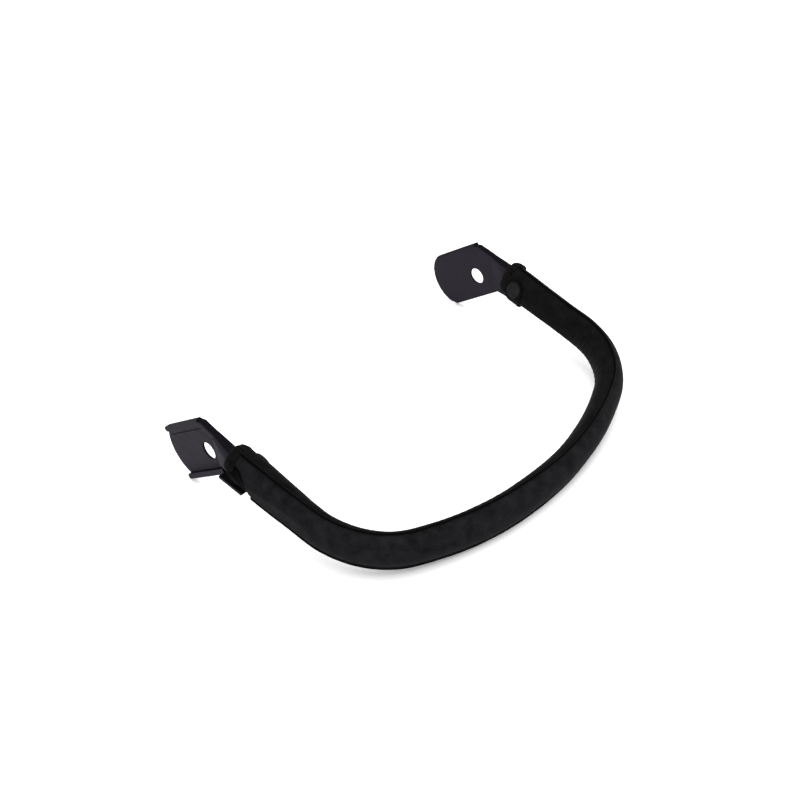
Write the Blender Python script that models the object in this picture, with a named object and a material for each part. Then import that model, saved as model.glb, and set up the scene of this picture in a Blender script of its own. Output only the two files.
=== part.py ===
"""Padded grab bar: a U-shaped tube in a foam and fabric sleeve, carried by two moulded end brackets.

The bar is drawn flat in its own bar frame (legs along Y, front at -Y, the tube's plane at z = 0) and
then leaned by REST_TILT, so that it lies as it would on a table: on its front and on the lower edges
of both brackets. Metres, +Z up, X across the bar.
"""
import math

import bmesh
import bpy
from mathutils import Matrix, Vector

MM = 0.001
GAP = 0.3 * MM                     # left between pieces that touch

# The bar's run, seen from above: straight leg, tight bend, shallow front.
LEG_SPACING = 355.0 * MM           # between the tube's two ends
LEG_TOE_IN = math.radians(3.5)     # the legs close towards the front
LEG_LENGTH = 86.0 * MM
BEND_RADIUS = 80.0 * MM
BEND_ANGLE = math.radians(61.5)
REST_TILT = math.radians(13.1)
BEND_STEP = 12.0 * MM              # spacing of the sweeps' rings round the bends
FRONT_STEP = 24.0 * MM

# Cross sections, as half widths in the bar's plane and half heights across it.
TUBE_RADIUS = 7.0 * MM
TUBE_WALL = 1.2 * MM
TUBE_SIDES = 12
SLEEVE_W = 13.0 * MM
SLEEVE_H = 17.8 * MM
FABRIC = 1.2 * MM
FOAM_EASE = 0.9 * MM                # between the foam and the fabric round it
SOCKET_W = 9.4 * MM
SOCKET_H = 12.8 * MM
END_FULLNESS = 2.1 * MM            # the sleeve is fuller on the child's side towards both ends
FULLNESS_LENGTH = 75.0 * MM

# Section angles: 0 is outward, 90 is up, 180 is towards the child's side, 270 is down.
TOP_SEAM = math.radians(103)
LOWER_SEAM = math.radians(-50)
WELT_RADIUS = 0.8 * MM

# Distances along a leg, counted from the leg's end towards the front.
TUBE_START = -1.5 * MM
FOAM_START = 2.0 * MM
PANEL_START = 2.9 * MM
HEM_START = -7.0 * MM
HEM_END = 2.6 * MM
SOCKET_START = -4.0 * MM
SOCKET_END = 44.0 * MM
BOSS_END = 1.0 * MM
HEM_PROUD = 0.8 * MM
HEM_FROM = math.radians(21)
HEM_TO = math.radians(200)
OUTER_CUT = 19.5 * MM              # length of the curved cut in the outer panel's lower corner
OUTER_CUT_ANGLE = math.radians(45)
INNER_CUT = 28.0 * MM
INNER_CUT_ANGLE = math.radians(240)

# Bracket: a thin web across X with rails on its outer face. Its plate droops behind the leg.
WEB_IN = 172.5 * MM
WEB_OUT = 174.8 * MM
RAIL_OUT = 179.5 * MM
RAIL_STEP_OUT = 177.3 * MM
RIB_OUT = 175.7 * MM
FLANGE_OUT = 187.0 * MM
BOSS_OUT = 180.5 * MM
DROOP = math.radians(46.8)
PLATE_TOP = 47.4 * MM
PLATE_BOTTOM = -3.4 * MM
PLATE_NEAR = 24.5 * MM             # where the plate's top edge meets the arm
APEX_CHOP = 4.5 * MM               # the corner taken off there
END_CENTRE = (74.5 * MM, 20.5 * MM)
END_RADIUS = 31.8 * MM
RAIL_END = 91.0 * MM
HOLE_CENTRE = (43.3 * MM, 17.3 * MM)
HOLE_RADIUS = 8.1 * MM
ARM_LOW = -12.0 * MM               # the lower flange's end, along the leg
FLANGE_THICKNESS = 3.0 * MM
FLANGE_ROOT_Z = -20.0 * MM
FLANGE_TIP_Z = -17.6 * MM
SLOT_EDGE = 2.2 * MM               # foam cut away round the lower flange

# Cross rivets through socket and tube, by distance along the leg.
RIVET_PLACES = (16.0 * MM, 34.0 * MM)
RIVET_RADIUS = 2.0 * MM
RIVET_HEAD = 3.8 * MM
RIVET_HEAD_HEIGHT = 0.9 * MM

# Press stud: heights above a point of the leg's centreline, along an axis that leans up by SNAP_LEAN
# from the child's side.
SNAP_PLACE = 12.0 * MM
SNAP_RAISE = 0.4 * MM
SNAP_LEAN = math.radians(18)
EYELET_R = 4.0 * MM
EYELET_T = 0.5 * MM
EYELET_BASE = 10.8 * MM
CUP_FLOOR = 11.5 * MM              # a cup in the inner panel, where the stud pulls it into the foam
CUP_FLOOR_T = 0.8 * MM
CUP_INNER_R = 5.8 * MM
CUP_OUTER_R = 6.6 * MM
CUP_BELOW_SKIN = 0.25 * MM
STUD_BASE = CUP_FLOOR + CUP_FLOOR_T + GAP
STUD_FLANGE_R = 4.4 * MM
STUD_FLANGE_T = 0.5 * MM
STUD_HEAD_R = 3.0 * MM
STUD_HEAD_T = 1.2 * MM
STUD_POST_R = 1.5 * MM
RING_BASE = STUD_BASE + STUD_FLANGE_T + GAP
SOCKET_RING_R = 5.4 * MM
SOCKET_BORE_R = 3.9 * MM
SOCKET_RING_T = 1.5 * MM
SOCKET_TOP_T = 0.3 * MM
TAB_THICKNESS = 0.9 * MM
TAB_BASE = RING_BASE + SOCKET_RING_T + GAP
CAP_RADIUS = 7.5 * MM
CAP_HEIGHT = 1.3 * MM
CAP_BASE = TAB_BASE + TAB_THICKNESS + GAP
STACK_CLEAR = 20.0 * MM            # a cut from here outwards clears the whole stack

# Snap tab: hinged below the leg, rising to the press stud on the child's side.
TAB_HALF_WIDTH = 9.1 * MM
TAB_HINGE = (-7.0 * MM, -17.1 * MM)
TAB_CORNER = (-17.2 * MM, -13.0 * MM)
TAB_FLAT_FROM = -5.6 * MM

COLOURS = {
    "moulding": ((0.055, 0.050, 0.062, 1.0), 0.45, 0.0),
    "fabric": ((0.012, 0.012, 0.013, 1.0), 0.85, 0.0),
    "foam": ((0.02, 0.02, 0.02, 1.0), 0.95, 0.0),
    "tube": ((0.55, 0.56, 0.58, 1.0), 0.35, 1.0),
    "rivet": ((0.62, 0.62, 0.64, 1.0), 0.30, 1.0),
    "snap": ((0.03, 0.03, 0.032, 1.0), 0.40, 0.6),
}


def clear_scene():
    for item in list(bpy.data.objects):
        bpy.data.objects.remove(item, do_unlink=True)


def material(node, kind):
    colour, roughness, metallic = COLOURS[kind]
    made = bpy.data.materials.new(node)
    made.use_nodes = True
    shader = made.node_tree.nodes["Principled BSDF"]
    shader.inputs["Base Color"].default_value = colour
    shader.inputs["Roughness"].default_value = roughness
    shader.inputs["Metallic"].default_value = metallic
    return made


def add_object(name, bm, kind, parent, smooth_angle=35.0):
    """Make a closed, outward-facing object from a bmesh; points are in the parent's frame."""
    bmesh.ops.recalc_face_normals(bm, faces=bm.faces)
    mesh = bpy.data.meshes.new(name)
    bm.to_mesh(mesh)
    bm.free()
    mesh.shade_smooth()
    mesh.set_sharp_from_angle(angle=math.radians(smooth_angle))
    made = bpy.data.objects.new(name, mesh)
    bpy.context.scene.collection.objects.link(made)
    made.parent = parent
    if kind:
        mesh.materials.append(material(name, kind))
    return made


def cutter(name, bm, parent):
    made = add_object(name, bm, None, parent)
    made.hide_render = True
    made.display_type = "WIRE"
    return made


def combine(target, tool, operation):
    step = target.modifiers.new(tool.name, "BOOLEAN")
    step.operation = operation
    step.solver = "EXACT"
    step.object = tool


def empty(name, parent=None, place=(0.0, 0.0, 0.0)):
    made = bpy.data.objects.new(name, None)
    bpy.context.scene.collection.objects.link(made)
    made.parent = parent
    made.location = place
    return made


# --- the bar's run ---------------------------------------------------------------------------------


class Station:
    """A place on the bar: its centre, its outward direction in the bar's plane, and its distance."""

    def __init__(self, centre, outward, along):
        self.centre = centre
        self.outward = outward
        self.along = along

    def point(self, out, up):
        return self.centre + self.outward * out + Vector((0.0, 0.0, up))


def heading(turn):
    """Direction of travel towards the front on the right-hand half, turned towards the middle."""
    return Vector((-math.sin(turn), -math.cos(turn), 0.0))


def arc_move(start, turn_from, turn_to, radius):
    across = radius * (math.cos(turn_to) - math.cos(turn_from))
    forward = -radius * (math.sin(turn_to) - math.sin(turn_from))
    return start + Vector((across, forward, 0.0))


LEG_TURN = LEG_TOE_IN
BEND_TURN = LEG_TURN + BEND_ANGLE
LEG_END_POINT = Vector((LEG_SPACING / 2, 0.0, 0.0))
BEND_START = LEG_END_POINT + heading(LEG_TURN) * LEG_LENGTH
BEND_END = arc_move(BEND_START, LEG_TURN, BEND_TURN, BEND_RADIUS)
FRONT_RADIUS = BEND_END.x / math.cos(BEND_TURN)
FRONT_ANGLE = math.pi / 2 - BEND_TURN
BEND_LENGTH = BEND_RADIUS * BEND_ANGLE
HALF_LENGTH = LEG_LENGTH + BEND_LENGTH + FRONT_RADIUS * FRONT_ANGLE


def station(along, side):
    """The station at a distance from the leg's end, on the right (side 1) or left (side -1) half."""
    if along <= LEG_LENGTH:
        turn = LEG_TURN
        centre = LEG_END_POINT + heading(turn) * along
    elif along <= LEG_LENGTH + BEND_LENGTH:
        turn = LEG_TURN + (along - LEG_LENGTH) / BEND_RADIUS
        centre = arc_move(BEND_START, LEG_TURN, turn, BEND_RADIUS)
    else:
        turn = BEND_TURN + (along - LEG_LENGTH - BEND_LENGTH) / FRONT_RADIUS
        centre = arc_move(BEND_END, BEND_TURN, turn, FRONT_RADIUS)
    outward = Vector((math.cos(turn), -math.sin(turn), 0.0))
    mirror = Vector((side, 1.0, 1.0))
    return Station(centre * mirror, outward * mirror, along)


def spaced(low, high, step):
    count = max(1, round((high - low) / step))
    return [low + (high - low) * i / count for i in range(count + 1)]


def bar_stations(start, extra=()):
    """Stations from the left leg's end round the front to the right leg's end."""
    bend_end = LEG_LENGTH + BEND_LENGTH
    places = [start, LEG_LENGTH, *extra]
    places += spaced(LEG_LENGTH, bend_end, BEND_STEP)[1:]
    places += spaced(bend_end, HALF_LENGTH, FRONT_STEP)[1:]
    places = sorted(set(p for p in places if p >= start))
    left = [station(p, -1) for p in places]
    right = [station(p, 1) for p in reversed(places[:-1])]
    return left + right


def oval(half_width, half_height, angle):
    return half_width * math.cos(angle), half_height * math.sin(angle)


def oval_ring(half_width, half_height, count=20):
    return [oval(half_width, half_height, 2 * math.pi * i / count) for i in range(count)]


def fullness(place):
    return END_FULLNESS * (1.0 - min(max(place.along / FULLNESS_LENGTH, 0.0), 1.0))


def sleeve_point(place, inset, angle):
    """A point of the sleeve's outline, or of the oval that lies inset within it."""
    extra = fullness(place) if math.cos(angle) < 0 else 0.0
    return oval(SLEEVE_W + extra - inset, SLEEVE_H - inset, angle)


def sleeve_ring(place, inset, count=20):
    return [sleeve_point(place, inset, 2 * math.pi * i / count) for i in range(count)]


def arc_section(place, outer, inner, start, end, count=10):
    """A band between two insets, from one section angle to another, as one closed outline."""
    angles = [start + (end - start) * i / (count - 1) for i in range(count)]
    outside = [sleeve_point(place, outer, angle) for angle in angles]
    inside = [sleeve_point(place, inner, angle) for angle in reversed(angles)]
    return outside + inside


def sweep(stations, section):
    """A closed solid through the stations; section(station) gives its outline there."""
    bm = bmesh.new()
    rings = []
    for place in stations:
        rings.append([bm.verts.new(place.point(*p)) for p in section(place)])
    count = len(rings[0])
    for ring, following in zip(rings, rings[1:]):
        for i in range(count):
            j = (i + 1) % count
            bm.faces.new((ring[i], ring[j], following[j], following[i]))
    half = count // 2
    for ring in (rings[0], rings[-1]):
        for i in range(half - 1):
            bm.faces.new((ring[i], ring[i + 1], ring[count - 2 - i], ring[count - 1 - i]))
    return bm


def sweep_pipe(stations, outer, inner):
    """A closed pipe wall through the stations, open at both ends."""
    bm = bmesh.new()
    walls = []
    for place in stations:
        outside = [bm.verts.new(place.point(*p)) for p in outer(place)]
        inside = [bm.verts.new(place.point(*p)) for p in inner(place)]
        walls.append((outside, inside))
    count = len(walls[0][0])
    for (out_a, in_a), (out_b, in_b) in zip(walls, walls[1:]):
        for i in range(count):
            j = (i + 1) % count
            bm.faces.new((out_a[i], out_a[j], out_b[j], out_b[i]))
            bm.faces.new((in_a[j], in_a[i], in_b[i], in_b[j]))
    for outside, inside in (walls[0], walls[-1]):
        for i in range(count):
            j = (i + 1) % count
            bm.faces.new((outside[i], outside[j], inside[j], inside[i]))
    return bm


def lathe(profile, origin, axis, count=24):
    """Turn a profile of (height, radius) pairs round an axis; a radius of 0 closes it on the axis."""
    axis = axis.normalized()
    side = axis.orthogonal().normalized()
    turn = Matrix((side, axis.cross(side), axis)).transposed()
    bm = bmesh.new()
    rings = []
    for height, radius in profile:
        if radius == 0:
            rings.append([bm.verts.new(origin + axis * height)])
            continue
        ring = []
        for i in range(count):
            angle = 2 * math.pi * i / count
            spot = Vector((radius * math.cos(angle), radius * math.sin(angle), height))
            ring.append(bm.verts.new(origin + turn @ spot))
        rings.append(ring)
    for low, high in zip(rings, rings[1:]):
        for i in range(count):
            j = (i + 1) % count
            if len(low) == 1:
                bm.faces.new((low[0], high[i], high[j]))
            elif len(high) == 1:
                bm.faces.new((low[i], low[j], high[0]))
            else:
                bm.faces.new((low[i], low[j], high[j], high[i]))
    return bm


def rod(origin, axis, low, high, radius, count=20):
    return lathe([(low, 0), (low, radius), (high, radius), (high, 0)], origin, axis, count)


# --- tube, foam and sleeve -------------------------------------------------------------------------


def build_tube(frame):
    stations = bar_stations(TUBE_START)
    bm = sweep_pipe(
        stations,
        lambda place: oval_ring(TUBE_RADIUS, TUBE_RADIUS, TUBE_SIDES),
        lambda place: oval_ring(TUBE_RADIUS - TUBE_WALL, TUBE_RADIUS - TUBE_WALL, TUBE_SIDES),
    )
    tube = add_object("core_tube", bm, "tube", frame)
    for side in (-1, 1):
        for number, along in enumerate(RIVET_PLACES):
            place = station(along, side)
            hole = rod(place.centre, place.outward, -TUBE_RADIUS * 1.5, TUBE_RADIUS * 1.5, RIVET_RADIUS + GAP)
            combine(tube, cutter(f"tube_rivet_hole_{side}_{number}", hole, frame), "DIFFERENCE")
    return tube


def foam_bore(place):
    """The foam clears the bracket's socket near the ends and the bare tube elsewhere."""
    if place.along <= SOCKET_END + GAP:
        return oval_ring(SOCKET_W + 2 * GAP, SOCKET_H + 2 * GAP)
    return oval_ring(TUBE_RADIUS + 2 * GAP, TUBE_RADIUS + 2 * GAP)


def build_foam(frame):
    places = (SOCKET_END + GAP, SOCKET_END + 4 * GAP, FULLNESS_LENGTH)
    stations = bar_stations(FOAM_START, places)
    bm = sweep_pipe(stations, lambda place: sleeve_ring(place, FABRIC + FOAM_EASE), foam_bore)
    foam = add_object("foam_pad", bm, "foam", frame)
    for side in (-1, 1):
        origin, axis = snap_line(side)
        cuts = {
            "arm_slot": arm_slot(side),
            "flange_slot": flange_slot(side),
            "corner_pocket": corner_pocket(side),
            "stud_recess": rod(origin, axis, SOCKET_W, STACK_CLEAR, CUP_OUTER_R + 2 * GAP),
        }
        for number, along in enumerate(RIVET_PLACES):
            place = station(along, side)
            relief = rod(place.centre, place.outward, -SLEEVE_W, SLEEVE_W, RIVET_HEAD + GAP)
            cuts[f"rivet_relief_{number}"] = relief
        for name, bm in cuts.items():
            combine(foam, cutter(f"foam_{name}_{side}", bm, frame), "DIFFERENCE")
    return foam


def ease(fraction):
    """Quarter ellipse that runs from 1 at the leg's end to 0 at the cut's far end."""
    return math.sqrt(max(0.0, 1.0 - min(1.0, fraction) ** 2))


def outer_section(place):
    """The outer panel, less its lower corner at the leg's end."""
    lift = ease((place.along - PANEL_START) / OUTER_CUT) * (OUTER_CUT_ANGLE - LOWER_SEAM)
    return arc_section(place, 0.0, FABRIC, LOWER_SEAM + lift, TOP_SEAM - seam_gap())


def inner_section(place):
    end = LOWER_SEAM + 2 * math.pi - seam_gap()
    end -= ease((place.along - PANEL_START) / INNER_CUT) * (end - INNER_CUT_ANGLE)
    return arc_section(place, 0.0, FABRIC, TOP_SEAM, end, 15)


def seam_gap():
    return GAP / SLEEVE_W


def cut_places(length):
    return [PANEL_START + length * f for f in (0.35, 0.6, 0.8, 0.92, 0.98, 1.0)] + [FULLNESS_LENGTH]


def snap_line(side):
    """Where the press stud's heights start, and the way that they run."""
    snap = station(SNAP_PLACE, side)
    axis = Vector((0.0, 0.0, math.sin(SNAP_LEAN))) - snap.outward * math.cos(SNAP_LEAN)
    return snap.point(0.0, SNAP_RAISE), axis


def cup_plug(side, frame):
    """The solid that the press stud's cup is bored in: a round plug, cut off just under the panel's skin."""
    origin, axis = snap_line(side)
    plug = cutter(f"cup_plug_{side}", rod(origin, axis, CUP_FLOOR, STACK_CLEAR, CUP_OUTER_R, 32), frame)
    ends = [station(SNAP_PLACE - 2 * CUP_OUTER_R, side), station(SNAP_PLACE + 2 * CUP_OUTER_R, side)]
    skin = sweep([ends[0], station(0.0, side), ends[1]], lambda place: sleeve_ring(place, CUP_BELOW_SKIN, 40))
    combine(plug, cutter(f"cup_skin_{side}", skin, frame), "INTERSECT")
    return plug


def build_panels(frame):
    stations = bar_stations(PANEL_START, cut_places(OUTER_CUT))
    add_object("sleeve_outer_panel", sweep(stations, outer_section), "fabric", frame)
    stations = bar_stations(PANEL_START, cut_places(INNER_CUT))
    inner = add_object("sleeve_inner_panel", sweep(stations, inner_section), "fabric", frame)
    for side in (-1, 1):
        origin, axis = snap_line(side)
        combine(inner, cup_plug(side, frame), "UNION")
        bore = rod(origin, axis, CUP_FLOOR + CUP_FLOOR_T, STACK_CLEAR, CUP_INNER_R, 32)
        combine(inner, cutter(f"cup_bore_{side}", bore, frame), "DIFFERENCE")
        hole = rod(origin, axis, SOCKET_W, STACK_CLEAR, STUD_POST_R + GAP)
        combine(inner, cutter(f"panel_stud_hole_{side}", hole, frame), "DIFFERENCE")


def build_welt(name, angle, start, frame):
    """The raised stitched edge that joins the two panels."""
    offsets = oval_ring(WELT_RADIUS, WELT_RADIUS, 6)

    def section(place):
        centre = sleeve_point(place, -WELT_RADIUS - GAP, angle)
        return [(centre[0] + out, centre[1] + up) for out, up in offsets]

    add_object(name, sweep(bar_stations(start, (FULLNESS_LENGTH,)), section), "fabric", frame)


def build_hem(side, frame):
    """The folded band that binds the sleeve's end over the top and the child's side."""
    stations = [station(HEM_START, side), station(0.0, side), station(HEM_END, side)]
    label = "left" if side < 0 else "right"
    bm = sweep(stations, lambda place: arc_section(place, -HEM_PROUD, FABRIC, HEM_FROM, HEM_TO, 15))
    add_object(f"hem_band_{label}", bm, "fabric", frame)


# --- end brackets ----------------------------------------------------------------------------------


def plate_point(along, across):
    """A point of the drooping plate, as (y, z) in the bar frame."""
    y = along * math.cos(DROOP) + across * math.sin(DROOP)
    z = -along * math.sin(DROOP) + across * math.cos(DROOP)
    return y, z


def slab(outline, x_from, x_to, side):
    """Extrude a (y, z) outline across X."""
    bm = bmesh.new()
    face = bm.faces.new([bm.verts.new((side * x_from, y, z)) for y, z in outline])
    moved = bmesh.ops.extrude_face_region(bm, geom=[face])
    verts = [v for v in moved["geom"] if isinstance(v, bmesh.types.BMVert)]
    bmesh.ops.translate(bm, verts=verts, vec=(side * (x_to - x_from), 0.0, 0.0))
    return bm


def hull(points):
    bm = bmesh.new()
    for point in points:
        bm.verts.new(point)
    made = bmesh.ops.convex_hull(bm, input=bm.verts)
    inside = [v for v in made["geom_interior"] if isinstance(v, bmesh.types.BMVert)]
    bmesh.ops.delete(bm, geom=inside, context="VERTS")
    return bm


def web_outline():
    points = [(2.0 * MM, 9.0 * MM), *apex_corner(), plate_point(RAIL_END, PLATE_TOP)]
    for i in range(13):
        angle = math.radians(50 - 90 * i / 12)
        along = END_CENTRE[0] + END_RADIUS * math.cos(angle)
        across = END_CENTRE[1] + END_RADIUS * math.sin(angle)
        points.append(plate_point(along, across))
    points.append(plate_point(94.5 * MM, -2.0 * MM))
    points.append(plate_point(90.0 * MM, -2.0 * MM))
    points.append(plate_point(89.0 * MM, PLATE_BOTTOM))
    points.append(plate_point(24.0 * MM, PLATE_BOTTOM))
    points.append((ARM_LOW, FLANGE_TIP_Z))
    points.append((ARM_LOW, -9.0 * MM))
    return points


def apex_corner():
    """The two ends of the corner taken off where the plate's top edge meets the arm."""
    apex = Vector(plate_point(PLATE_NEAR, PLATE_TOP))
    root = Vector((30.0 * MM, 13.7 * MM))
    return tuple(apex + (root - apex).normalized() * APEX_CHOP * 0.8), plate_point(PLATE_NEAR + APEX_CHOP, PLATE_TOP)


def rail_outline(start, end, low, high):
    """A straight rail on the plate, with its free corners taken off."""
    chop = 0.3 * (high - low)
    corners = [(start, low), (end - chop, low), (end, low + chop), (end, high - chop), (end - chop, high),
               (start, high)]
    return [plate_point(*corner) for corner in corners]


def flange_outline():
    """The arm's lower flange, seen from the side, with its tip rounded."""
    root = plate_point(26.0 * MM, PLATE_BOTTOM)[0]
    radius = FLANGE_THICKNESS / 2
    points = [(root, FLANGE_ROOT_Z - FLANGE_THICKNESS / 2), (root, FLANGE_ROOT_Z + FLANGE_THICKNESS / 2)]
    for i in range(7):
        angle = math.pi / 2 + math.pi * i / 6
        points.append((ARM_LOW + radius * math.cos(angle), FLANGE_TIP_Z + radius * math.sin(angle)))
    return points


def arm_boss(side):
    """The closed part of the arm, from the plate's floor to the oval socket."""
    root = station(BOSS_END, side)
    points = [root.point(*p) for p in oval_ring(SOCKET_W + 0.15 * MM, SOCKET_H + 0.15 * MM, 24)]
    for y, z in ((32.0 * MM, 13.9 * MM), (29.0 * MM, 2.0 * MM), (22.5 * MM, -17.0 * MM)):
        points.append(Vector((side * (WEB_IN + 0.4 * MM), y, z)))
        points.append(Vector((side * (BOSS_OUT - 1.5 * MM), y, z)))
    for y, z in ((31.0 * MM, 11.0 * MM), (27.5 * MM, 1.0 * MM), (21.5 * MM, -14.5 * MM)):
        points.append(Vector((side * BOSS_OUT, y, z)))
    return hull(points)


def top_flange(side):
    """The arm's top edge between the plate's corner and the boss."""
    low, far = apex_corner()
    x_in = WEB_IN + 0.2 * MM
    points = []
    for x in (x_in, RAIL_OUT - 0.2 * MM):
        points.append((side * x, low[0], low[1]))
        points.append((side * x, low[0] + 2.0 * MM, low[1] - 4.5 * MM))
        points.append((side * x, far[0], far[1]))
        points.append((side * x, far[0] + 0.5 * MM, far[1] - 3.0 * MM))
    for x in (x_in, BOSS_OUT - 0.6 * MM):
        points.append((side * x, 30.0 * MM, 13.7 * MM))
        points.append((side * x, 30.0 * MM, 10.8 * MM))
    return hull([Vector(p) for p in points])


def socket(side):
    places = [station(SOCKET_START, side), station(SOCKET_END, side)]
    ring = oval_ring(SOCKET_W, SOCKET_H, 24)
    bm = bmesh.new()
    for place in places:
        for p in ring:
            bm.verts.new(place.point(*p))
    bmesh.ops.convex_hull(bm, input=bm.verts)
    return bm


def arm_slot(side):
    """What the arm's web and lower flange take out of the foam."""
    outline = [(10.0 * MM, -8.0 * MM), (10.0 * MM, -30.0 * MM), (ARM_LOW - 2 * MM, -30.0 * MM)]
    outline.append((ARM_LOW - 2 * MM, -8.0 * MM))
    return slab(outline, WEB_IN - GAP, WEB_OUT + GAP, side)


def flange_slot(side):
    """What the lower flange takes out of the foam's underside."""
    low = -30.0 * MM
    outline = [(20.0 * MM, FLANGE_ROOT_Z + SLOT_EDGE), (ARM_LOW - SLOT_EDGE, FLANGE_TIP_Z + SLOT_EDGE),
               (ARM_LOW - SLOT_EDGE, low), (20.0 * MM, low)]
    return slab(outline, WEB_IN - GAP, FLANGE_OUT + 10 * MM, side)


def corner_pocket(side):
    """The foam's lower outer corner, which is left out where the outer panel is cut away."""
    outline = [(10, 11), (-4, 11), (-12, 7.5), (-17, 1), (-19.5, -8), (-19.5, -30), (10, -30)]
    outline = [(y * MM, z * MM) for y, z in outline]
    return slab(outline, WEB_OUT + GAP, FLANGE_OUT + 10 * MM, side)


def build_bracket(side, frame):
    label = "left" if side < 0 else "right"
    bracket = add_object(f"end_bracket_{label}", slab(web_outline(), WEB_IN, WEB_OUT, side), "moulding", frame)
    low = WEB_OUT - 1.0 * MM
    rails = {
        "rail_top": slab(rail_outline(PLATE_NEAR + 2 * MM, RAIL_END, 43.3 * MM, 48.8 * MM), low, RAIL_OUT, side),
        "rail_step": slab(rail_outline(PLATE_NEAR + 1 * MM, 92.5 * MM, 40.3 * MM, 44.0 * MM), low, RAIL_STEP_OUT, side),
        "rib": slab(rail_outline(26.0 * MM, 96.0 * MM, 37.4 * MM, 38.6 * MM), low, RIB_OUT, side),
        "rail_bottom": slab(rail_outline(28.0 * MM, 96.0 * MM, -4.4 * MM, 1.0 * MM), low, RAIL_OUT, side),
        "top_flange": top_flange(side),
        "boss": arm_boss(side),
        "socket": socket(side),
        "flange": slab(flange_outline(), WEB_IN + 0.3 * MM, FLANGE_OUT, side),
    }
    for name, bm in rails.items():
        combine(bracket, cutter(f"{label}_{name}", bm, frame), "UNION")
    y, z = plate_point(*HOLE_CENTRE)
    hole = rod(Vector((0.0, y, z)), Vector((side, 0.0, 0.0)), WEB_IN - 5 * MM, RAIL_OUT, HOLE_RADIUS, 32)
    combine(bracket, cutter(f"{label}_hole", hole, frame), "DIFFERENCE")
    end = station(SOCKET_END, side)
    inward = (station(0.0, side).centre - end.centre).normalized()
    bore = rod(end.centre, inward, -5 * MM, SOCKET_END - TUBE_START + GAP, TUBE_RADIUS + GAP)
    combine(bracket, cutter(f"{label}_bore", bore, frame), "DIFFERENCE")
    for number, along in enumerate(RIVET_PLACES):
        place = station(along, side)
        pin = rod(place.centre, place.outward, -SOCKET_W * 1.5, SOCKET_W * 1.5, RIVET_RADIUS + GAP)
        combine(bracket, cutter(f"{label}_rivet_hole_{number}", pin, frame), "DIFFERENCE")
    return bracket


def build_rivet(side, number, frame):
    """A domed cross rivet: head outside, upset end inside."""
    label = "left" if side < 0 else "right"
    place = station(RIVET_PLACES[number], side)
    seat = SOCKET_W + GAP
    profile = [
        (-seat - RIVET_HEAD_HEIGHT * 0.8, 0),
        (-seat - RIVET_HEAD_HEIGHT * 0.8, RIVET_HEAD * 0.7),
        (-seat, RIVET_HEAD * 0.8),
        (-seat, RIVET_RADIUS),
        (seat, RIVET_RADIUS),
        (seat, RIVET_HEAD),
        (seat + RIVET_HEAD_HEIGHT * 0.6, RIVET_HEAD * 0.8),
        (seat + RIVET_HEAD_HEIGHT, RIVET_HEAD * 0.4),
        (seat + RIVET_HEAD_HEIGHT, 0),
    ]
    bm = lathe(profile, place.centre, place.outward, 12)
    add_object(f"cross_rivet_{label}_{number + 1}", bm, "rivet", frame)


# --- press studs and their tabs --------------------------------------------------------------------


def build_stud(side, frame):
    """The fixed half of the press stud: stud in the inner panel's cup, eyelet behind it."""
    label = "left" if side < 0 else "right"
    origin, axis = snap_line(side)
    top = STUD_BASE + STUD_FLANGE_T + STUD_HEAD_T
    profile = [
        (CUP_FLOOR, 0),
        (CUP_FLOOR, STUD_POST_R),
        (STUD_BASE, STUD_POST_R),
        (STUD_BASE, STUD_FLANGE_R),
        (STUD_BASE + STUD_FLANGE_T, STUD_FLANGE_R),
        (STUD_BASE + STUD_FLANGE_T, STUD_HEAD_R * 0.88),
        (top - STUD_HEAD_T * 0.55, STUD_HEAD_R),
        (top, STUD_HEAD_R * 0.8),
        (top, 0),
    ]
    add_object(f"press_stud_{label}", lathe(profile, origin, axis), "snap", frame)
    back = EYELET_BASE + EYELET_T
    eyelet = [(EYELET_BASE, 0), (EYELET_BASE, EYELET_R), (back, EYELET_R), (back, 0)]
    add_object(f"stud_eyelet_{label}", lathe(eyelet, origin, axis), "snap", frame)


def tab_curve():
    """Mid-line of the tab as (out, up) points, from a bend at the hinge to a flat top, with each
    point's height up the flat part from the stud's axis."""
    axis = Vector((-math.cos(SNAP_LEAN), math.sin(SNAP_LEAN)))
    rising = Vector((math.sin(SNAP_LEAN), math.cos(SNAP_LEAN)))
    middle = Vector((0.0, SNAP_RAISE)) + axis * (TAB_BASE + TAB_THICKNESS / 2)
    start = Vector(TAB_HINGE)
    corner = Vector(TAB_CORNER)
    flat = middle + rising * TAB_FLAT_FROM
    points = []
    for i in range(6):
        t = i / 6
        points.append((start * (1 - t) ** 2 + corner * (2 * t * (1 - t)) + flat * t ** 2, TAB_FLAT_FROM))
    heights = [TAB_FLAT_FROM, 0.0]
    heights += [TAB_HALF_WIDTH * math.sin(math.radians(88) * i / 6) for i in range(1, 7)]
    return points + [(middle + rising * height, height) for height in heights]


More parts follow.
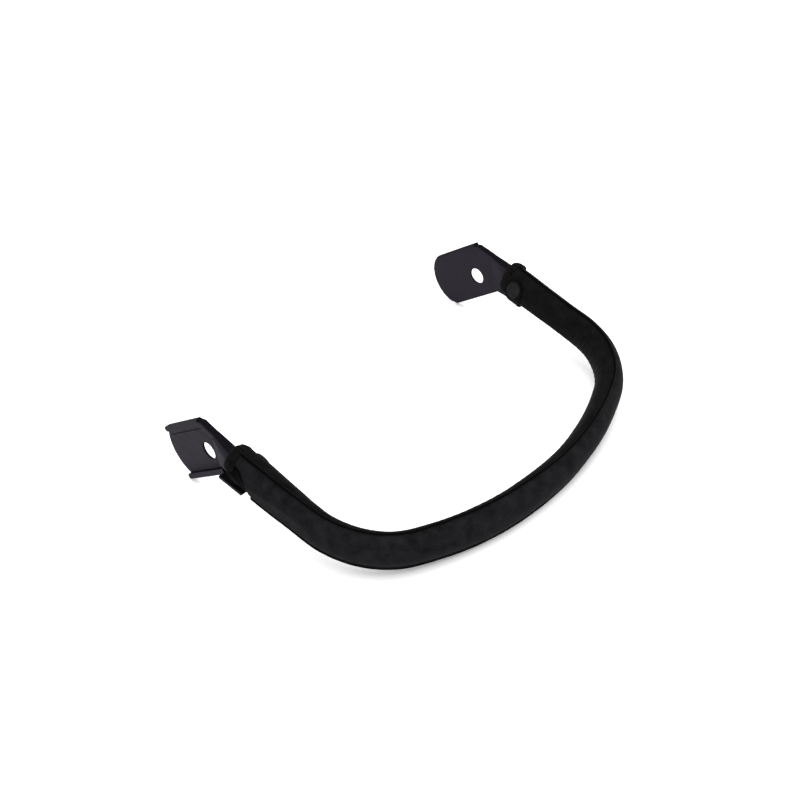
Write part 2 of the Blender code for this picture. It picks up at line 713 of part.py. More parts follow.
def tab_mesh(side, hinge_place):
    """The tab as two skins, closed round their edge; points are about the hinge."""
    snap = station(SNAP_PLACE, side)
    along = (station(SNAP_PLACE + 1 * MM, side).centre - snap.centre).normalized()
    curve = tab_curve()
    columns = 4
    bm = bmesh.new()
    skins = ([], [])
    for i, (point, height) in enumerate(curve):
        before = curve[max(i - 1, 0)][0]
        after = curve[min(i + 1, len(curve) - 1)][0]
        tangent = (after - before).normalized()
        normal = Vector((-tangent.y, tangent.x))
        half = math.sqrt(max(TAB_HALF_WIDTH ** 2 - max(height, 0.0) ** 2, 0.0))
        for skin, offset in zip(skins, (-TAB_THICKNESS / 2, TAB_THICKNESS / 2)):
            spot = point + normal * offset
            row = []
            for j in range(columns + 1):
                shift = half * (2 * j / columns - 1)
                row.append(bm.verts.new(snap.point(spot.x, spot.y) + along * shift - hinge_place))
            skin.append(row)
    for skin in skins:
        for low, high in zip(skin, skin[1:]):
            for j in range(columns):
                bm.faces.new((low[j], low[j + 1], high[j + 1], high[j]))
    near, far = skins
    for j in range(columns):
        bm.faces.new((near[0][j], near[0][j + 1], far[0][j + 1], far[0][j]))
        bm.faces.new((near[-1][j], near[-1][j + 1], far[-1][j + 1], far[-1][j]))
    for i in range(len(curve) - 1):
        for j in (0, columns):
            bm.faces.new((near[i][j], near[i + 1][j], far[i + 1][j], far[i][j]))
    return bm


def build_tab(side, frame):
    label = "left" if side < 0 else "right"
    hinge_place = station(SNAP_PLACE, side).point(*TAB_HINGE)
    hinge = empty(f"snap_hinge_{label}", frame, hinge_place)
    origin, axis = snap_line(side)
    origin = origin - hinge_place
    tab = add_object(f"snap_tab_{label}", tab_mesh(side, hinge_place), "fabric", hinge)
    hole = rod(origin, axis, TAB_BASE - 1 * MM, CAP_BASE + 1 * MM, STUD_POST_R + GAP)
    combine(tab, cutter(f"tab_hole_{label}", hole, hinge), "DIFFERENCE")
    ring_top = RING_BASE + SOCKET_RING_T
    ring = [
        (ring_top - SOCKET_TOP_T, 0),
        (ring_top - SOCKET_TOP_T, SOCKET_BORE_R),
        (RING_BASE, SOCKET_BORE_R),
        (RING_BASE, SOCKET_RING_R - 0.5 * MM),
        (RING_BASE + 0.5 * MM, SOCKET_RING_R),
        (ring_top, SOCKET_RING_R),
        (ring_top, 0),
    ]
    add_object(f"snap_socket_{label}", lathe(ring, origin, axis), "snap", hinge)
    top = CAP_BASE + CAP_HEIGHT
    cap = [
        (ring_top + GAP, 0),
        (ring_top + GAP, STUD_POST_R),
        (CAP_BASE, STUD_POST_R),
        (CAP_BASE, CAP_RADIUS - 0.3 * MM),
        (CAP_BASE + 0.4 * MM, CAP_RADIUS),
        (CAP_BASE + 0.9 * MM, CAP_RADIUS - 0.4 * MM),
        (top, CAP_RADIUS - 1.6 * MM),
        (top - 0.35 * MM, CAP_RADIUS - 2.6 * MM),
        (top - 0.35 * MM, 0),
    ]
    add_object(f"snap_cap_{label}", lathe(cap, origin, axis, 32), "snap", hinge)


def settle(frame):
    """Move the bar so that the origin is under the middle of its box, on the table."""
    bpy.context.view_layer.update()
    graph = bpy.context.evaluated_depsgraph_get()
    corners = []
    for item in bpy.data.objects:
        if item.type == "MESH" and not item.hide_render:
            shape = item.evaluated_get(graph)
            corners += [shape.matrix_world @ v.co for v in shape.data.vertices]
    low = Vector([min(c[i] for c in corners) for i in range(3)])
    high = Vector([max(c[i] for c in corners) for i in range(3)])
    frame.location -= Vector(((low.x + high.x) / 2, (low.y + high.y) / 2, low.z))
    bpy.context.view_layer.update()


def main():
    clear_scene()
    frame = empty("bar_frame")
    frame.rotation_euler = (REST_TILT, 0.0, 0.0)
    build_tube(frame)
    build_foam(frame)
    build_panels(frame)
    build_welt("top_seam_welt", TOP_SEAM, PANEL_START, frame)
    build_welt("lower_seam_welt", LOWER_SEAM, PANEL_START + OUTER_CUT, frame)
    for side in (-1, 1):
        build_hem(side, frame)
        build_bracket(side, frame)
        for number in range(len(RIVET_PLACES)):
            build_rivet(side, number, frame)
        build_stud(side, frame)
        build_tab(side, frame)
    settle(frame)


main()
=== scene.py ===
"""Looks of the padded grab bar: a sewn sleeve over a foam-covered tube, between two moulded brackets."""
import math

import bmesh
import bpy
import numpy as np
from mathutils import Matrix, Vector


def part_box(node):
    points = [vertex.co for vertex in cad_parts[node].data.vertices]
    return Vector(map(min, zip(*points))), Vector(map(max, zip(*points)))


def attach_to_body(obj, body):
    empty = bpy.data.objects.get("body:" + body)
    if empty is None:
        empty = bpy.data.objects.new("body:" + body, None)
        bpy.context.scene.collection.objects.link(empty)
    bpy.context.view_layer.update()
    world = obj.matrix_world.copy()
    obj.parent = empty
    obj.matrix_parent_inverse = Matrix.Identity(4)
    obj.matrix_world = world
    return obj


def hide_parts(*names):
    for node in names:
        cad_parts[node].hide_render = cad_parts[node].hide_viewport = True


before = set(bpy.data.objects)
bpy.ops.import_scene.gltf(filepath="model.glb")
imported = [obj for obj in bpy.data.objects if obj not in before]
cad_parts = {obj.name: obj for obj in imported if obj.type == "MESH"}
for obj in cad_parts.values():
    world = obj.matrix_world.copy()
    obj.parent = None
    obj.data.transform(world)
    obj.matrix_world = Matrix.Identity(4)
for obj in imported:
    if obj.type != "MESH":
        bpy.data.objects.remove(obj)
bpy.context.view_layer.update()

MM = 0.001
TAU = 2 * math.pi
LABELS = {-1: "left", 1: "right"}

# The bar's run, as in the CAD: straight leg, tight bend, shallow front, leaned by REST_TILT.
LEG_SPACING = 355.0 * MM
LEG_TURN = math.radians(3.5)
LEG_LENGTH = 86.0 * MM
BEND_RADIUS = 80.0 * MM
BEND_ANGLE = math.radians(61.5)
REST_TILT = math.radians(13.1)
TUBE_RADIUS = 7.0 * MM
TUBE_START = -1.5 * MM
TUBE_SIDES = 12
BEND_BLEND = 10.0 * MM

# The sleeve's oval, and where its seams and edges are. Section angles: 0 outward, 90 up, 180 the child's side.
SLEEVE_W = 13.0 * MM
SLEEVE_H = 17.8 * MM
END_FULLNESS = 4.6 * MM
FULLNESS_FROM = 14.0 * MM
FULLNESS_TO = 72.0 * MM
FULLNESS_ANGLE = math.radians(150)
FULLNESS_NARROWING = 1.125
FULLNESS_POWER = 0.8
FABRIC = 1.0 * MM
TOP_SEAM = math.radians(91.5)
SEAM_WANDER = math.radians(8.5)
SEAM_PEAK = 235.0 * MM
SEAM_WAVE = 400.0 * MM
LOWER_SEAM = math.radians(-50)
PANEL_START = 2.9 * MM
CUT_LENGTH = 19.5 * MM
OUTER_CUT_ANGLE = math.radians(45)
INNER_CUT_ANGLE = math.radians(240)

# Hem bands. The profile is (distance along the leg, height over the oval) in millimetres, top points first.
HEM_PROFILE = [(3.4, -0.9), (2.9, 0.2), (1.4, 1.15), (-0.6, 1.75), (-2.8, 1.8), (-4.9, 1.3), (-6.4, 0.3),
               (-7.1, -0.8), (-6.7, -1.9), (-5.2, -2.4), (-2.5, -2.5), (0.5, -2.5), (2.8, -2.2)]
HEM_TOP = 8
HEM_FRONT = 4
HEM_FULLNESS_AT = 54.0 * MM
HEM_FROM = math.radians(18)
HEM_TO = math.radians(204)
HEM_STEPS = 72
HEM_TUCK = 0.7 * MM
HEM_TUCK_SHARE = 0.05
HEM_PLEAT = 0.95 * MM
HEM_CLOTH = (58.0 * MM, 26.0 * MM)

# Press stud and its tab: heights above a point of the leg's centreline, along an axis that leans up.
SNAP_PLACE = 12.0 * MM
SNAP_RAISE = 0.4 * MM
SNAP_LEAN = math.radians(18)
STUD_POST_R = 1.5 * MM
DIMPLE_FLOOR = 12.3 * MM
DIMPLE_RADIUS = 6.6 * MM
DIMPLE_SLOPE = 3.0 * MM
TAB_SEAT = 2.1 * MM
TAB_SEAT_RIM = 3.0 * MM
TAB_SEAT_RADIUS = 9.7 * MM
TAB_SEAT_SLOPE = 6.0 * MM
TAB_SEAT_REACH = 18.1 * MM
TAB_BASE = 15.2 * MM
TAB_THICKNESS = 0.9 * MM
CAP_BASE = 16.4 * MM
CAP_RADIUS = 7.5 * MM
TAB_HALF_WIDTH = 9.1 * MM
TAB_ROOT = (-7.1 * MM, -16.7 * MM)
TAB_CORNER = (-15.8 * MM, -12.6 * MM)
TAB_ROOT_HALF = 6.5 * MM
TAB_ROLL = (-7.1 * MM, -16.2 * MM)
TAB_ROLL_R = 1.3 * MM
TAB_FLAT_FROM = -5.6 * MM
TAB_CURVE_ROWS = 12
TAB_FLAT_ROWS = 4
TAB_ROUND_ROWS = 14
TAB_ROUND_TO = math.radians(86)
TAB_COLUMNS = 17
TAB_CLOTH_STEP = 1.1 * MM
TAB_STITCH_INSET = 2.0 * MM
LATHE_SIDES = 64

# Sleeve simulation: a grid of rings round the foam.
SIM_RINGS = 200
SIM_AROUND = 42
SIM_FRAMES = 20
SIM_PRESSURE = 4.0
SIM_START_SHRINK = 0.45 * MM
SIM_CAP = 1.1 * MM
SIM_UNEVEN = 0.12 * MM
SIM_END_HOLD = 14.0 * MM
SIM_SEAM_HOLD = 2.6 * MM
BEND_SLACK = 0.07
NOISE_SEED = 7.3
NOISE_WAVES = 7
NOISE_TURNS = ((1.7, 0.0), (2.9, 1.3), (4.1, 2.2))

# The panels' surface: rings and columns, the ridge and groove of a seam, the width of the shade painted into
# it, creases and gathers.
RING_STEP = 2.2 * MM
CUT_RINGS = 22
PANEL_COLUMNS = 31
RIDGE_HEIGHT = 0.45 * MM
RIDGE_PLACE = 2.7 * MM
RIDGE_WIDTH = 1.2 * MM
GROOVE_DEPTH = 2.3 * MM
GROOVE_FALL = 1.05 * MM
SEAM_SHADE_WIDTH = 1.15 * MM
CREASE_HEIGHT = 0.35 * MM
GATHER_HEIGHT = 0.85 * MM
GATHER_PITCH = 7.1 * MM
CREASE_START = 10.0 * MM

# A seam's turned-in allowance and its thread, by depth under the oval.
FOLD_DEPTH = 2.2 * MM
FOLD_RADIUS = 0.8 * MM
THREAD_DEPTH = 1.45 * MM
THREAD_RADIUS = 0.17 * MM
STITCH_LENGTH = 2.3 * MM
STITCH_PITCH = 3.2 * MM
STITCH_RISE = 0.25 * MM
SEAM_STEP = 3.0 * MM

# Brackets, and the near-black lining in the sleeve's cut corner, which paints the shade of the hollow there.
MOULD_VOXEL = 0.5 * MM
MOULD_RELAX = 5
LINING_FROM = -4.0 * MM
LINING_TO = 32.0 * MM
LINING_INSET = 1.6 * MM
LINING_ANGLES = (-66.0, 76.0)
LINING_ROWS = 24
LINING_COLUMNS = 26
LINING_SAG = 0.25 * MM
LINING_CLOTH_STEP = 1.2 * MM

# Camera, in the bar's own frame.
CAMERA_AZIMUTH = math.radians(-51.04)
CAMERA_ELEVATION = math.radians(45.49)
CAMERA_ROLL = math.radians(7.49)
CAMERA_DISTANCE = 1.15343
CAMERA_LENS = 57.53
CAMERA_SENSOR = 36.0
CAMERA_SHIFT = (0.0141, -0.0424)
FLOOR_HALF = 3.0


# --- the bar's run -----------------------------------------------------------------------------------


def arc_move(start, turn_from, turn_to, radius):
    """The far end of an arc from start, on the right half."""
    across = radius * (math.cos(turn_to) - math.cos(turn_from))
    forward = -radius * (math.sin(turn_to) - math.sin(turn_from))
    return start + Vector((across, forward, 0.0))


LEG_END = Vector((LEG_SPACING / 2, 0.0, 0.0))
LEG_HEADING = Vector((-math.sin(LEG_TURN), -math.cos(LEG_TURN), 0.0))
BEND_START = LEG_END + LEG_HEADING * LEG_LENGTH
BEND_TURN = LEG_TURN + BEND_ANGLE
BEND_END = arc_move(BEND_START, LEG_TURN, BEND_TURN, BEND_RADIUS)
BEND_LENGTH = BEND_RADIUS * BEND_ANGLE
FRONT_RADIUS = BEND_END.x / math.cos(BEND_TURN)
HALF_LENGTH = LEG_LENGTH + BEND_LENGTH + FRONT_RADIUS * (math.pi / 2 - BEND_TURN)
FULL_LENGTH = 2 * HALF_LENGTH
SLEEVE_LENGTH = FULL_LENGTH - 2 * PANEL_START


def run(along, side):
    """Centre and outward direction on the right (side 1) or left (-1) half, by distance from the leg's end."""
    if along <= LEG_LENGTH:
        turn = LEG_TURN
        centre = LEG_END + LEG_HEADING * along
    elif along <= LEG_LENGTH + BEND_LENGTH:
        turn = LEG_TURN + (along - LEG_LENGTH) / BEND_RADIUS
        centre = arc_move(BEND_START, LEG_TURN, turn, BEND_RADIUS)
    else:
        turn = BEND_TURN + (along - LEG_LENGTH - BEND_LENGTH) / FRONT_RADIUS
        centre = arc_move(BEND_END, BEND_TURN, turn, FRONT_RADIUS)
    outward = Vector((side * math.cos(turn), -math.sin(turn), 0.0))
    return Vector((side * centre.x, centre.y, 0.0)), outward


def full_run(distance):
    """The same by distance from the left leg's end, all the way to the right one's."""
    if distance <= HALF_LENGTH:
        return run(distance, -1)
    return run(FULL_LENGTH - distance, 1)


def end_distance(distance):
    """Distance to the nearer leg's end, for a number or an array."""
    return np.minimum(distance, FULL_LENGTH - distance)


def bend_share(distance):
    """How tightly the bar turns here: 1 in the bends, about a quarter round the front, 0 on the legs."""
    into_bend = end_distance(distance) - LEG_LENGTH + BEND_BLEND
    rise = smooth_step(into_bend / (2 * BEND_BLEND))
    fall = smooth_step((into_bend - BEND_LENGTH) / (2 * BEND_BLEND))
    return rise - fall * (1 - BEND_RADIUS / FRONT_RADIUS)


def smooth_step(t):
    t = np.clip(t, 0.0, 1.0)
    return t * t * (3 - 2 * t)


def section_point(distance, out, up):
    """A point of the section at a distance along the bar, out from the centreline and up."""
    centre, outward = full_run(distance)
    return centre + outward * out + Vector((0.0, 0.0, up))


def oval_point(distance, angle, grow=0.0):
    """Out and up of the sleeve's outline, which is fuller on the child's side towards both ends."""
    share = np.clip((FULLNESS_TO - end_distance(distance)) / (FULLNESS_TO - FULLNESS_FROM), 0.0, 1.0)
    turn = min(abs(wrapped(angle - FULLNESS_ANGLE)) * FULLNESS_NARROWING, math.pi / 2)
    grow += END_FULLNESS * float(share) * max(math.cos(turn), 0.0) ** FULLNESS_POWER
    return (SLEEVE_W + grow) * math.cos(angle), (SLEEVE_H + grow) * math.sin(angle)


def wrapped(angle):
    """The same angle between minus and plus half a turn."""
    return (angle + math.pi) % TAU - math.pi


def top_seam(distance):
    """Section angle of the top seam, which wanders to and fro along the bar."""
    return TOP_SEAM + SEAM_WANDER * math.cos(TAU * (distance - SEAM_PEAK) / SEAM_WAVE)


def lower_seam(distance):
    return LOWER_SEAM


def lower_seam_again(distance):
    return LOWER_SEAM + TAU


def snap_line(side):
    """Where the press stud's heights start, and the way that they run."""
    centre, outward = run(SNAP_PLACE, side)
    axis = Vector((0.0, 0.0, math.sin(SNAP_LEAN))) - outward * math.cos(SNAP_LEAN)
    return centre + Vector((0.0, 0.0, SNAP_RAISE)), axis


def find_place():
    """Where the CAD put the bar: the bar frame leaned by REST_TILT, then moved to fit the tube's box."""
    lean = Matrix.Rotation(REST_TILT, 4, "X")
    tops = []
    for i in range(TUBE_SIDES):
        angle = TAU * i / TUBE_SIDES
        centre, outward = run(TUBE_START, 1)
        tops.append(lean @ (centre + outward * TUBE_RADIUS * math.cos(angle)
                            + Vector((0.0, 0.0, TUBE_RADIUS * math.sin(angle)))))
    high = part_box("core_tube")[1]
    shift = Vector((0.0, high.y - max(p.y for p in tops), high.z - max(p.z for p in tops)))
    return Matrix.Translation(shift) @ lean


PLACE = find_place()


# --- small helpers -----------------------------------------------------------------------------------


def noise(points, scale, seed=0.0):
    """Smooth noise, mostly from -1 to 1, for an array of points: a sum of fixed sine waves."""
    total = np.zeros(points.shape[:-1])
    weights = 0.0
    for k in range(NOISE_WAVES):
        turn = np.array([math.sin(rate * k + offset + seed) for rate, offset in NOISE_TURNS])
        turn = turn / np.linalg.norm(turn)
        stretch = scale * (0.6 + 0.23 * k)
        total += np.sin(points @ turn * stretch + 2.1 * k + seed * 3.7) / (1 + 0.35 * k)
        weights += 0.6 / (1 + 0.35 * k)
    return total / weights


def new_object(name, verts, faces, materials=(), place=PLACE):
    """A smooth-shaded mesh, with its points given in the bar's own frame unless place says otherwise."""
    mesh = bpy.data.meshes.new(name)
    mesh.from_pydata([tuple(v) for v in verts], [], faces)
    mesh.validate()
    if place is not None:
        mesh.transform(place)
    mesh.shade_smooth()
    made = bpy.data.objects.new(name, mesh)
    bpy.context.scene.collection.objects.link(made)
    for kind in materials:
        mesh.materials.append(kind)
    return made


def grid_faces(rows, columns, closed=False, flip=False, first=0):
    """Quads over a grid of points whose numbers start at first; closed joins the last column to the first."""
    faces = []
    for i in range(rows - 1):
        for j in range(columns if closed else columns - 1):
            k = (j + 1) % columns
            face = (first + i * columns + j, first + i * columns + k,
                    first + (i + 1) * columns + k, first + (i + 1) * columns + j)
            faces.append(face[::-1] if flip else face)
    return faces


def grid_uv(mesh, uv):
    """Give a grid's points their places on the cloth, in metres."""
    layer = mesh.uv_layers.new(name="cloth")
    flat = uv.reshape(-1, 2)
    for loop in mesh.loops:
        layer.data[loop.index].uv = flat[loop.vertex_index]


def modifier(target, kind, name, **values):
    made = target.modifiers.new(name, kind)
    for key, value in values.items():
        setattr(made, key, value)
    return made


def recalculated(target):
    """Turn a closed piece's faces outward."""
    bm = bmesh.new()
    bm.from_mesh(target.data)
    bmesh.ops.recalc_face_normals(bm, faces=bm.faces)
    bm.to_mesh(target.data)
    bm.free()
    return target


# --- materials ---------------------------------------------------------------------------------------


class Nodes:
    """A material's node tree, with short calls to add and link nodes."""

    def __init__(self, name, **shader_values):
        self.material = bpy.data.materials.new(name)
        self.material.use_nodes = True
        self.tree = self.material.node_tree
        self.shader = self.tree.nodes["Principled BSDF"]
        for key, value in shader_values.items():
            self.shader.inputs[key.replace("_", " ")].default_value = value

    def add(self, kind, inputs=(), **settings):
        made = self.tree.nodes.new("ShaderNode" + kind)
        for key, value in settings.items():
            setattr(made, key, value)
        for key, value in dict(inputs).items():
            if isinstance(value, bpy.types.NodeSocket):
                self.tree.links.new(value, made.inputs[key])
            else:
                made.inputs[key].default_value = value
        return made

    def math(self, operation, a, b=0.0):
        return self.add("Math", {0: a, 1: b}, operation=operation).outputs[0]

    def noise(self, vector, scale, detail=2.0, roughness=0.5):
        inputs = {"Vector": vector, "Scale": scale, "Detail": detail, "Roughness": roughness}
        return self.add("TexNoise", inputs).outputs["Fac"]

    def ramp(self, value, low, high, from_low=0.3, from_high=0.7):
        inputs = {"Value": value, "From Min": from_low, "From Max": from_high, "To Min": low, "To Max": high}
        return self.add("MapRange", inputs).outputs["Result"]

    def mix(self, share, a, b):
        return self.add("Mix", {0: share, 6: a, 7: b}, data_type="RGBA").outputs[2]

    def bump(self, height, strength, distance, below=None):
        inputs = {"Height": height, "Strength": strength, "Distance": distance}
        if below is not None:
            inputs["Normal"] = below
        return self.add("Bump", inputs).outputs["Normal"]

    def link(self, socket, name):
        self.tree.links.new(socket, self.shader.inputs[name])


def object_space(nodes):
    return nodes.add("TexCoord").outputs["Object"]


WEAVE_PITCH = 0.55 * MM
SCRATCH_SCALE = 700.0


def make_fabric(name, base, worn, sheen=0.25):
    """Plain-woven polyester: an over-and-under weave by cloth position, soft mottling, pile wear, and shade
    painted into the seams.
    """
    nodes = Nodes(name, Roughness=0.85, Specular_IOR_Level=0.02, Sheen_Roughness=0.35)
    nodes.shader.inputs["Sheen Tint"].default_value = (0.09, 0.088, 0.095, 1.0)
    space = object_space(nodes)
    uv = nodes.add("UVMap", uv_map="cloth").outputs["UV"]
    parts = nodes.add("SeparateXYZ", {0: uv})
    threads = []
    for axis in ("X", "Y"):
        turned = nodes.math("MULTIPLY", parts.outputs[axis], TAU / WEAVE_PITCH)
        threads.append(nodes.math("SINE", turned))
    weave = nodes.math("MULTIPLY", *threads)
    mottle = nodes.noise(space, 95.0, 4.0, 0.6)
    fibres = nodes.noise(space, 900.0, 2.0)
    shade = nodes.math("ADD", nodes.math("MULTIPLY", mottle, 0.75), nodes.math("MULTIPLY", fibres, 0.25))
    cloth = nodes.mix(nodes.ramp(shade, 0.0, 1.0), base, worn)
    # painted shade: the seam mask turns the cloth near-black and takes its sheen away in the seams
    painted_seam_shade = nodes.add("Attribute", attribute_name="painted_seam_shade").outputs["Fac"]
    nodes.link(nodes.mix(painted_seam_shade, cloth, (0.0002, 0.0002, 0.0002, 1.0)), "Base Color")
    nodes.link(nodes.math("MULTIPLY", nodes.math("SUBTRACT", 1.0, painted_seam_shade), sheen), "Sheen Weight")
    nodes.link(nodes.ramp(mottle, 0.72, 0.9), "Roughness")
    soft = nodes.bump(nodes.noise(space, 120.0, 3.0), 0.6, 1.2 * MM)
    pile = nodes.bump(fibres, 0.5, 0.12 * MM, soft)
    nodes.link(nodes.bump(weave, 0.4, 0.05 * MM, pile), "Normal")
    return nodes.material


def make_moulding(name):
    """Satin glass-filled nylon: fine spark grain, faint flow streaks and paler, smoother edges; shade is
    painted into its hollows and onto faces that don't point sideways.
    """
    nodes = Nodes(name, Roughness=0.42, Specular_IOR_Level=0.1, IOR=1.5)
    space = object_space(nodes)
    stretched = nodes.add("Mapping", {"Vector": space, "Scale": (1.0, 0.12, 1.0), "Rotation": (0.35, 0.0, 0.0)})
    streaks = nodes.noise(stretched.outputs[0], 260.0, 3.0)
    clouds = nodes.noise(space, 45.0, 2.0)
    grain = nodes.noise(space, 1900.0, 2.0, 0.6)
    point = nodes.add("NewGeometry").outputs["Pointiness"]
    edge = nodes.ramp(point, 0.0, 1.0, 0.52, 0.6)
    # painted shade: concave hollows, found by pointiness, are darkened
    painted_hollow_shade = nodes.ramp(point, 1.0, 0.0, 0.42, 0.485)
    # painted shade: faces that don't point sideways along X are darkened, so the lit plate faces stay lighter
    facing = nodes.add("SeparateXYZ", {0: nodes.add("TexCoord").outputs["Normal"]}).outputs["X"]
    rim = nodes.ramp(nodes.math("ABSOLUTE", facing), 0.8, 0.0, 0.55, 0.85)
    shade = nodes.math("MAXIMUM", rim, painted_hollow_shade)
    tone = nodes.math("ADD", nodes.math("MULTIPLY", streaks, 0.5), nodes.math("MULTIPLY", clouds, 0.5))
    body = nodes.mix(nodes.ramp(tone, 0.0, 1.0), (0.0105, 0.0088, 0.0132, 1), (0.0145, 0.0124, 0.0176, 1))
    # the painted shade darkens the colour and lowers the specular level, taking reflection out of the shaded
    # places
    with_painted_shade = nodes.mix(shade, body, (0.0008, 0.0007, 0.001, 1.0))
    nodes.link(nodes.ramp(shade, 0.035, 0.01, 0.0, 1.0), "Specular IOR Level")
    nodes.link(nodes.mix(nodes.math("MULTIPLY", edge, 0.6), with_painted_shade, (0.045, 0.043, 0.05, 1.0)), "Base Color")
    nodes.link(nodes.ramp(streaks, 0.5, 0.62), "Roughness")
    nodes.link(nodes.bump(grain, 0.35, 0.04 * MM, nodes.bump(streaks, 0.12, 0.06 * MM)), "Normal")
    return nodes.material


def make_foam(name):
    """Open-cell polyether foam, charcoal."""
    nodes = Nodes(name, Roughness=0.95, Specular_IOR_Level=0.1)
    space = object_space(nodes)
    cells = nodes.add("TexVoronoi", {"Vector": space, "Scale": 1100.0}).outputs["Distance"]
    shade = nodes.math("MULTIPLY", cells, 1.4)
    nodes.link(nodes.mix(shade, (0.002, 0.002, 0.002, 1), (0.007, 0.007, 0.0075, 1)), "Base Color")
    nodes.link(nodes.bump(cells, 0.8, 0.3 * MM), "Normal")
    return nodes.material


def make_metal(name, base, roughness, metallic, specular=0.5):
    """Brushed or painted metal with fine scratches and uneven gloss."""
    nodes = Nodes(name, Metallic=metallic, Specular_IOR_Level=specular)
    space = object_space(nodes)
    stretched = nodes.add("Mapping", {"Vector": space, "Scale": (1.0, 0.15, 0.6)}).outputs[0]
    scratches = nodes.noise(stretched, SCRATCH_SCALE, 3.0)
    blotches = nodes.noise(space, 220.0, 2.0)
    dark = tuple(c * 0.7 for c in base[:3]) + (1.0,)
    nodes.link(nodes.mix(nodes.ramp(blotches, 0.0, 1.0), dark, base), "Base Color")
    nodes.link(nodes.ramp(scratches, roughness - 0.06, roughness + 0.1), "Roughness")
    nodes.link(nodes.bump(scratches, 0.2, 0.03 * MM), "Normal")
    return nodes.material


def make_thread(name):
    """Twisted black polyester thread."""
    nodes = Nodes(name, Roughness=0.6, Specular_IOR_Level=0.03)
    space = object_space(nodes)
    twist = nodes.add("TexWave", {"Vector": space, "Scale": 900.0, "Distortion": 2.0}).outputs["Fac"]
    nodes.link(nodes.mix(twist, (0.0012, 0.0012, 0.0012, 1), (0.004, 0.004, 0.0043, 1)), "Base Color")
    nodes.link(nodes.bump(twist, 0.5, 0.05 * MM), "Normal")
    return nodes.material


def make_floor(name):
    nodes = Nodes(name, Roughness=0.7, Specular_IOR_Level=0.2)
    clouds = nodes.noise(object_space(nodes), 3.0, 2.0)
    nodes.link(nodes.mix(clouds, (0.96, 0.96, 0.96, 1), (0.99, 0.99, 0.99, 1)), "Base Color")
    return nodes.material


MOULDING = make_moulding("satin_nylon")
# One cloth in two copies: the outer panel's is lighter as painted light, the inner panel's darker as painted
# shade on the child's side, which faces away from the light.
LIT_OUTER_FABRIC = make_fabric("sleeve_cloth_outer_lit", (0.002, 0.0019, 0.0022, 1), (0.0105, 0.0101, 0.0112, 1))
SHADED_INNER_FABRIC = make_fabric("sleeve_cloth_inner_shaded", (0.0012, 0.0012, 0.0012, 1), (0.0056, 0.0055, 0.0057, 1))
HEM_FABRIC = make_fabric("hem_cloth", (0.0012, 0.0012, 0.0012, 1), (0.006, 0.006, 0.006, 1))
# Near-black cloth, far darker than the sleeve's: painted shade for the seam allowances down in the grooves and
# for the corner linings.
SHADE_BLACK_CLOTH = make_fabric("shade_black_cloth", (0.0003, 0.0003, 0.0003, 1), (0.0008, 0.0008, 0.0008, 1), sheen=0.0)
FOAM = make_foam("charcoal_foam")
THREAD = make_thread("black_thread")
SNAP = make_metal("painted_stud", (0.0085, 0.0085, 0.009, 1.0), 0.5, 0.0, specular=0.05)
TUBE = make_metal("drawn_tube", (0.5, 0.51, 0.53, 1.0), 0.32, 1.0)
RIVET = make_metal("rivet_steel", (0.56, 0.56, 0.58, 1.0), 0.3, 1.0)


# --- cloth simulation --------------------------------------------------------------------------------


def inflate(points, pinned, slack=None, cap=SIM_CAP, bending=0.08):
    """Blow a closed grid of cloth up from inside. points is [rows, columns, 3]; pinned and slack are weights
    from 0 to 1 on the same grid. Slack cloth is cut longer, so it wrinkles. No point moves further than cap."""
    rows, columns, _ = points.shape
    made = new_object("cloth_work", points.reshape(-1, 3), grid_faces(rows, columns, closed=True), place=None)
    pins = made.vertex_groups.new(name="pins")
    loose = made.vertex_groups.new(name="loose")
    slack = np.zeros((rows, columns)) if slack is None else slack
    for i, (pin, give) in enumerate(zip(pinned.reshape(-1), slack.reshape(-1))):
        pins.add([i], float(pin), "REPLACE")
        loose.add([i], float(give), "REPLACE")
    cloth = made.modifiers.new("cloth", "CLOTH")
    values = cloth.settings
    values.quality = 6
    values.mass = 0.3
    values.bending_stiffness = bending
    values.use_pressure = True
    values.uniform_pressure_force = SIM_PRESSURE
    values.vertex_group_mass = "pins"
    values.effector_weights.gravity = 0.0
    values.vertex_group_shrink = "loose"
    values.shrink_min = 0.0
    values.shrink_max = -BEND_SLACK
    cloth.collision_settings.use_collision = False
    cloth.point_cache.frame_start = 1
    cloth.point_cache.frame_end = SIM_FRAMES
    scene = bpy.context.scene
    for number in range(1, SIM_FRAMES + 1):
        scene.frame_set(number)
    shape = made.evaluated_get(bpy.context.evaluated_depsgraph_get()).to_mesh()
    moved = np.empty(len(shape.vertices) * 3)
    shape.vertices.foreach_get("co", moved)
    moved = moved.reshape(points.shape)
    scene.frame_set(1)
    bpy.data.objects.remove(made, do_unlink=True)
    step = moved - points
    size = np.linalg.norm(step, axis=2, keepdims=True)
    limited = cap * np.tanh(size / cap)
    return points + step * limited / np.maximum(size, 1e-9)


def cubic_weights(t):
    """Weights of four neighbours for a smooth curve through the middle two, at share t between them."""
    return np.stack([-0.5 * t + t ** 2 - 0.5 * t ** 3, 1 - 2.5 * t ** 2 + 1.5 * t ** 3,
                     0.5 * t + 2 * t ** 2 - 1.5 * t ** 3, -0.5 * t ** 2 + 0.5 * t ** 3])


class Skin:
    """The sleeve's surface after the simulation, sampled smoothly by distance and section angle."""

    def __init__(self, points):
        self.points = points

    def at(self, distance, angle):
        rows, columns, _ = self.points.shape
        u = np.clip((distance - PANEL_START) / SLEEVE_LENGTH, 0.0, 1.0) * (rows - 1)
        v = (angle % TAU) / TAU * columns
        row = np.minimum(np.floor(u).astype(int), rows - 2)
        column = np.floor(v).astype(int)
        along = cubic_weights(u - row)
        round_it = cubic_weights(v - column)
        total = 0.0
        for i in range(4):
            for j in range(4):
                a = np.clip(row + i - 1, 0, rows - 1)
                b = (column + j - 1) % columns
                total = total + self.points[a, b] * (along[i] * round_it[j])[..., None]
        return total


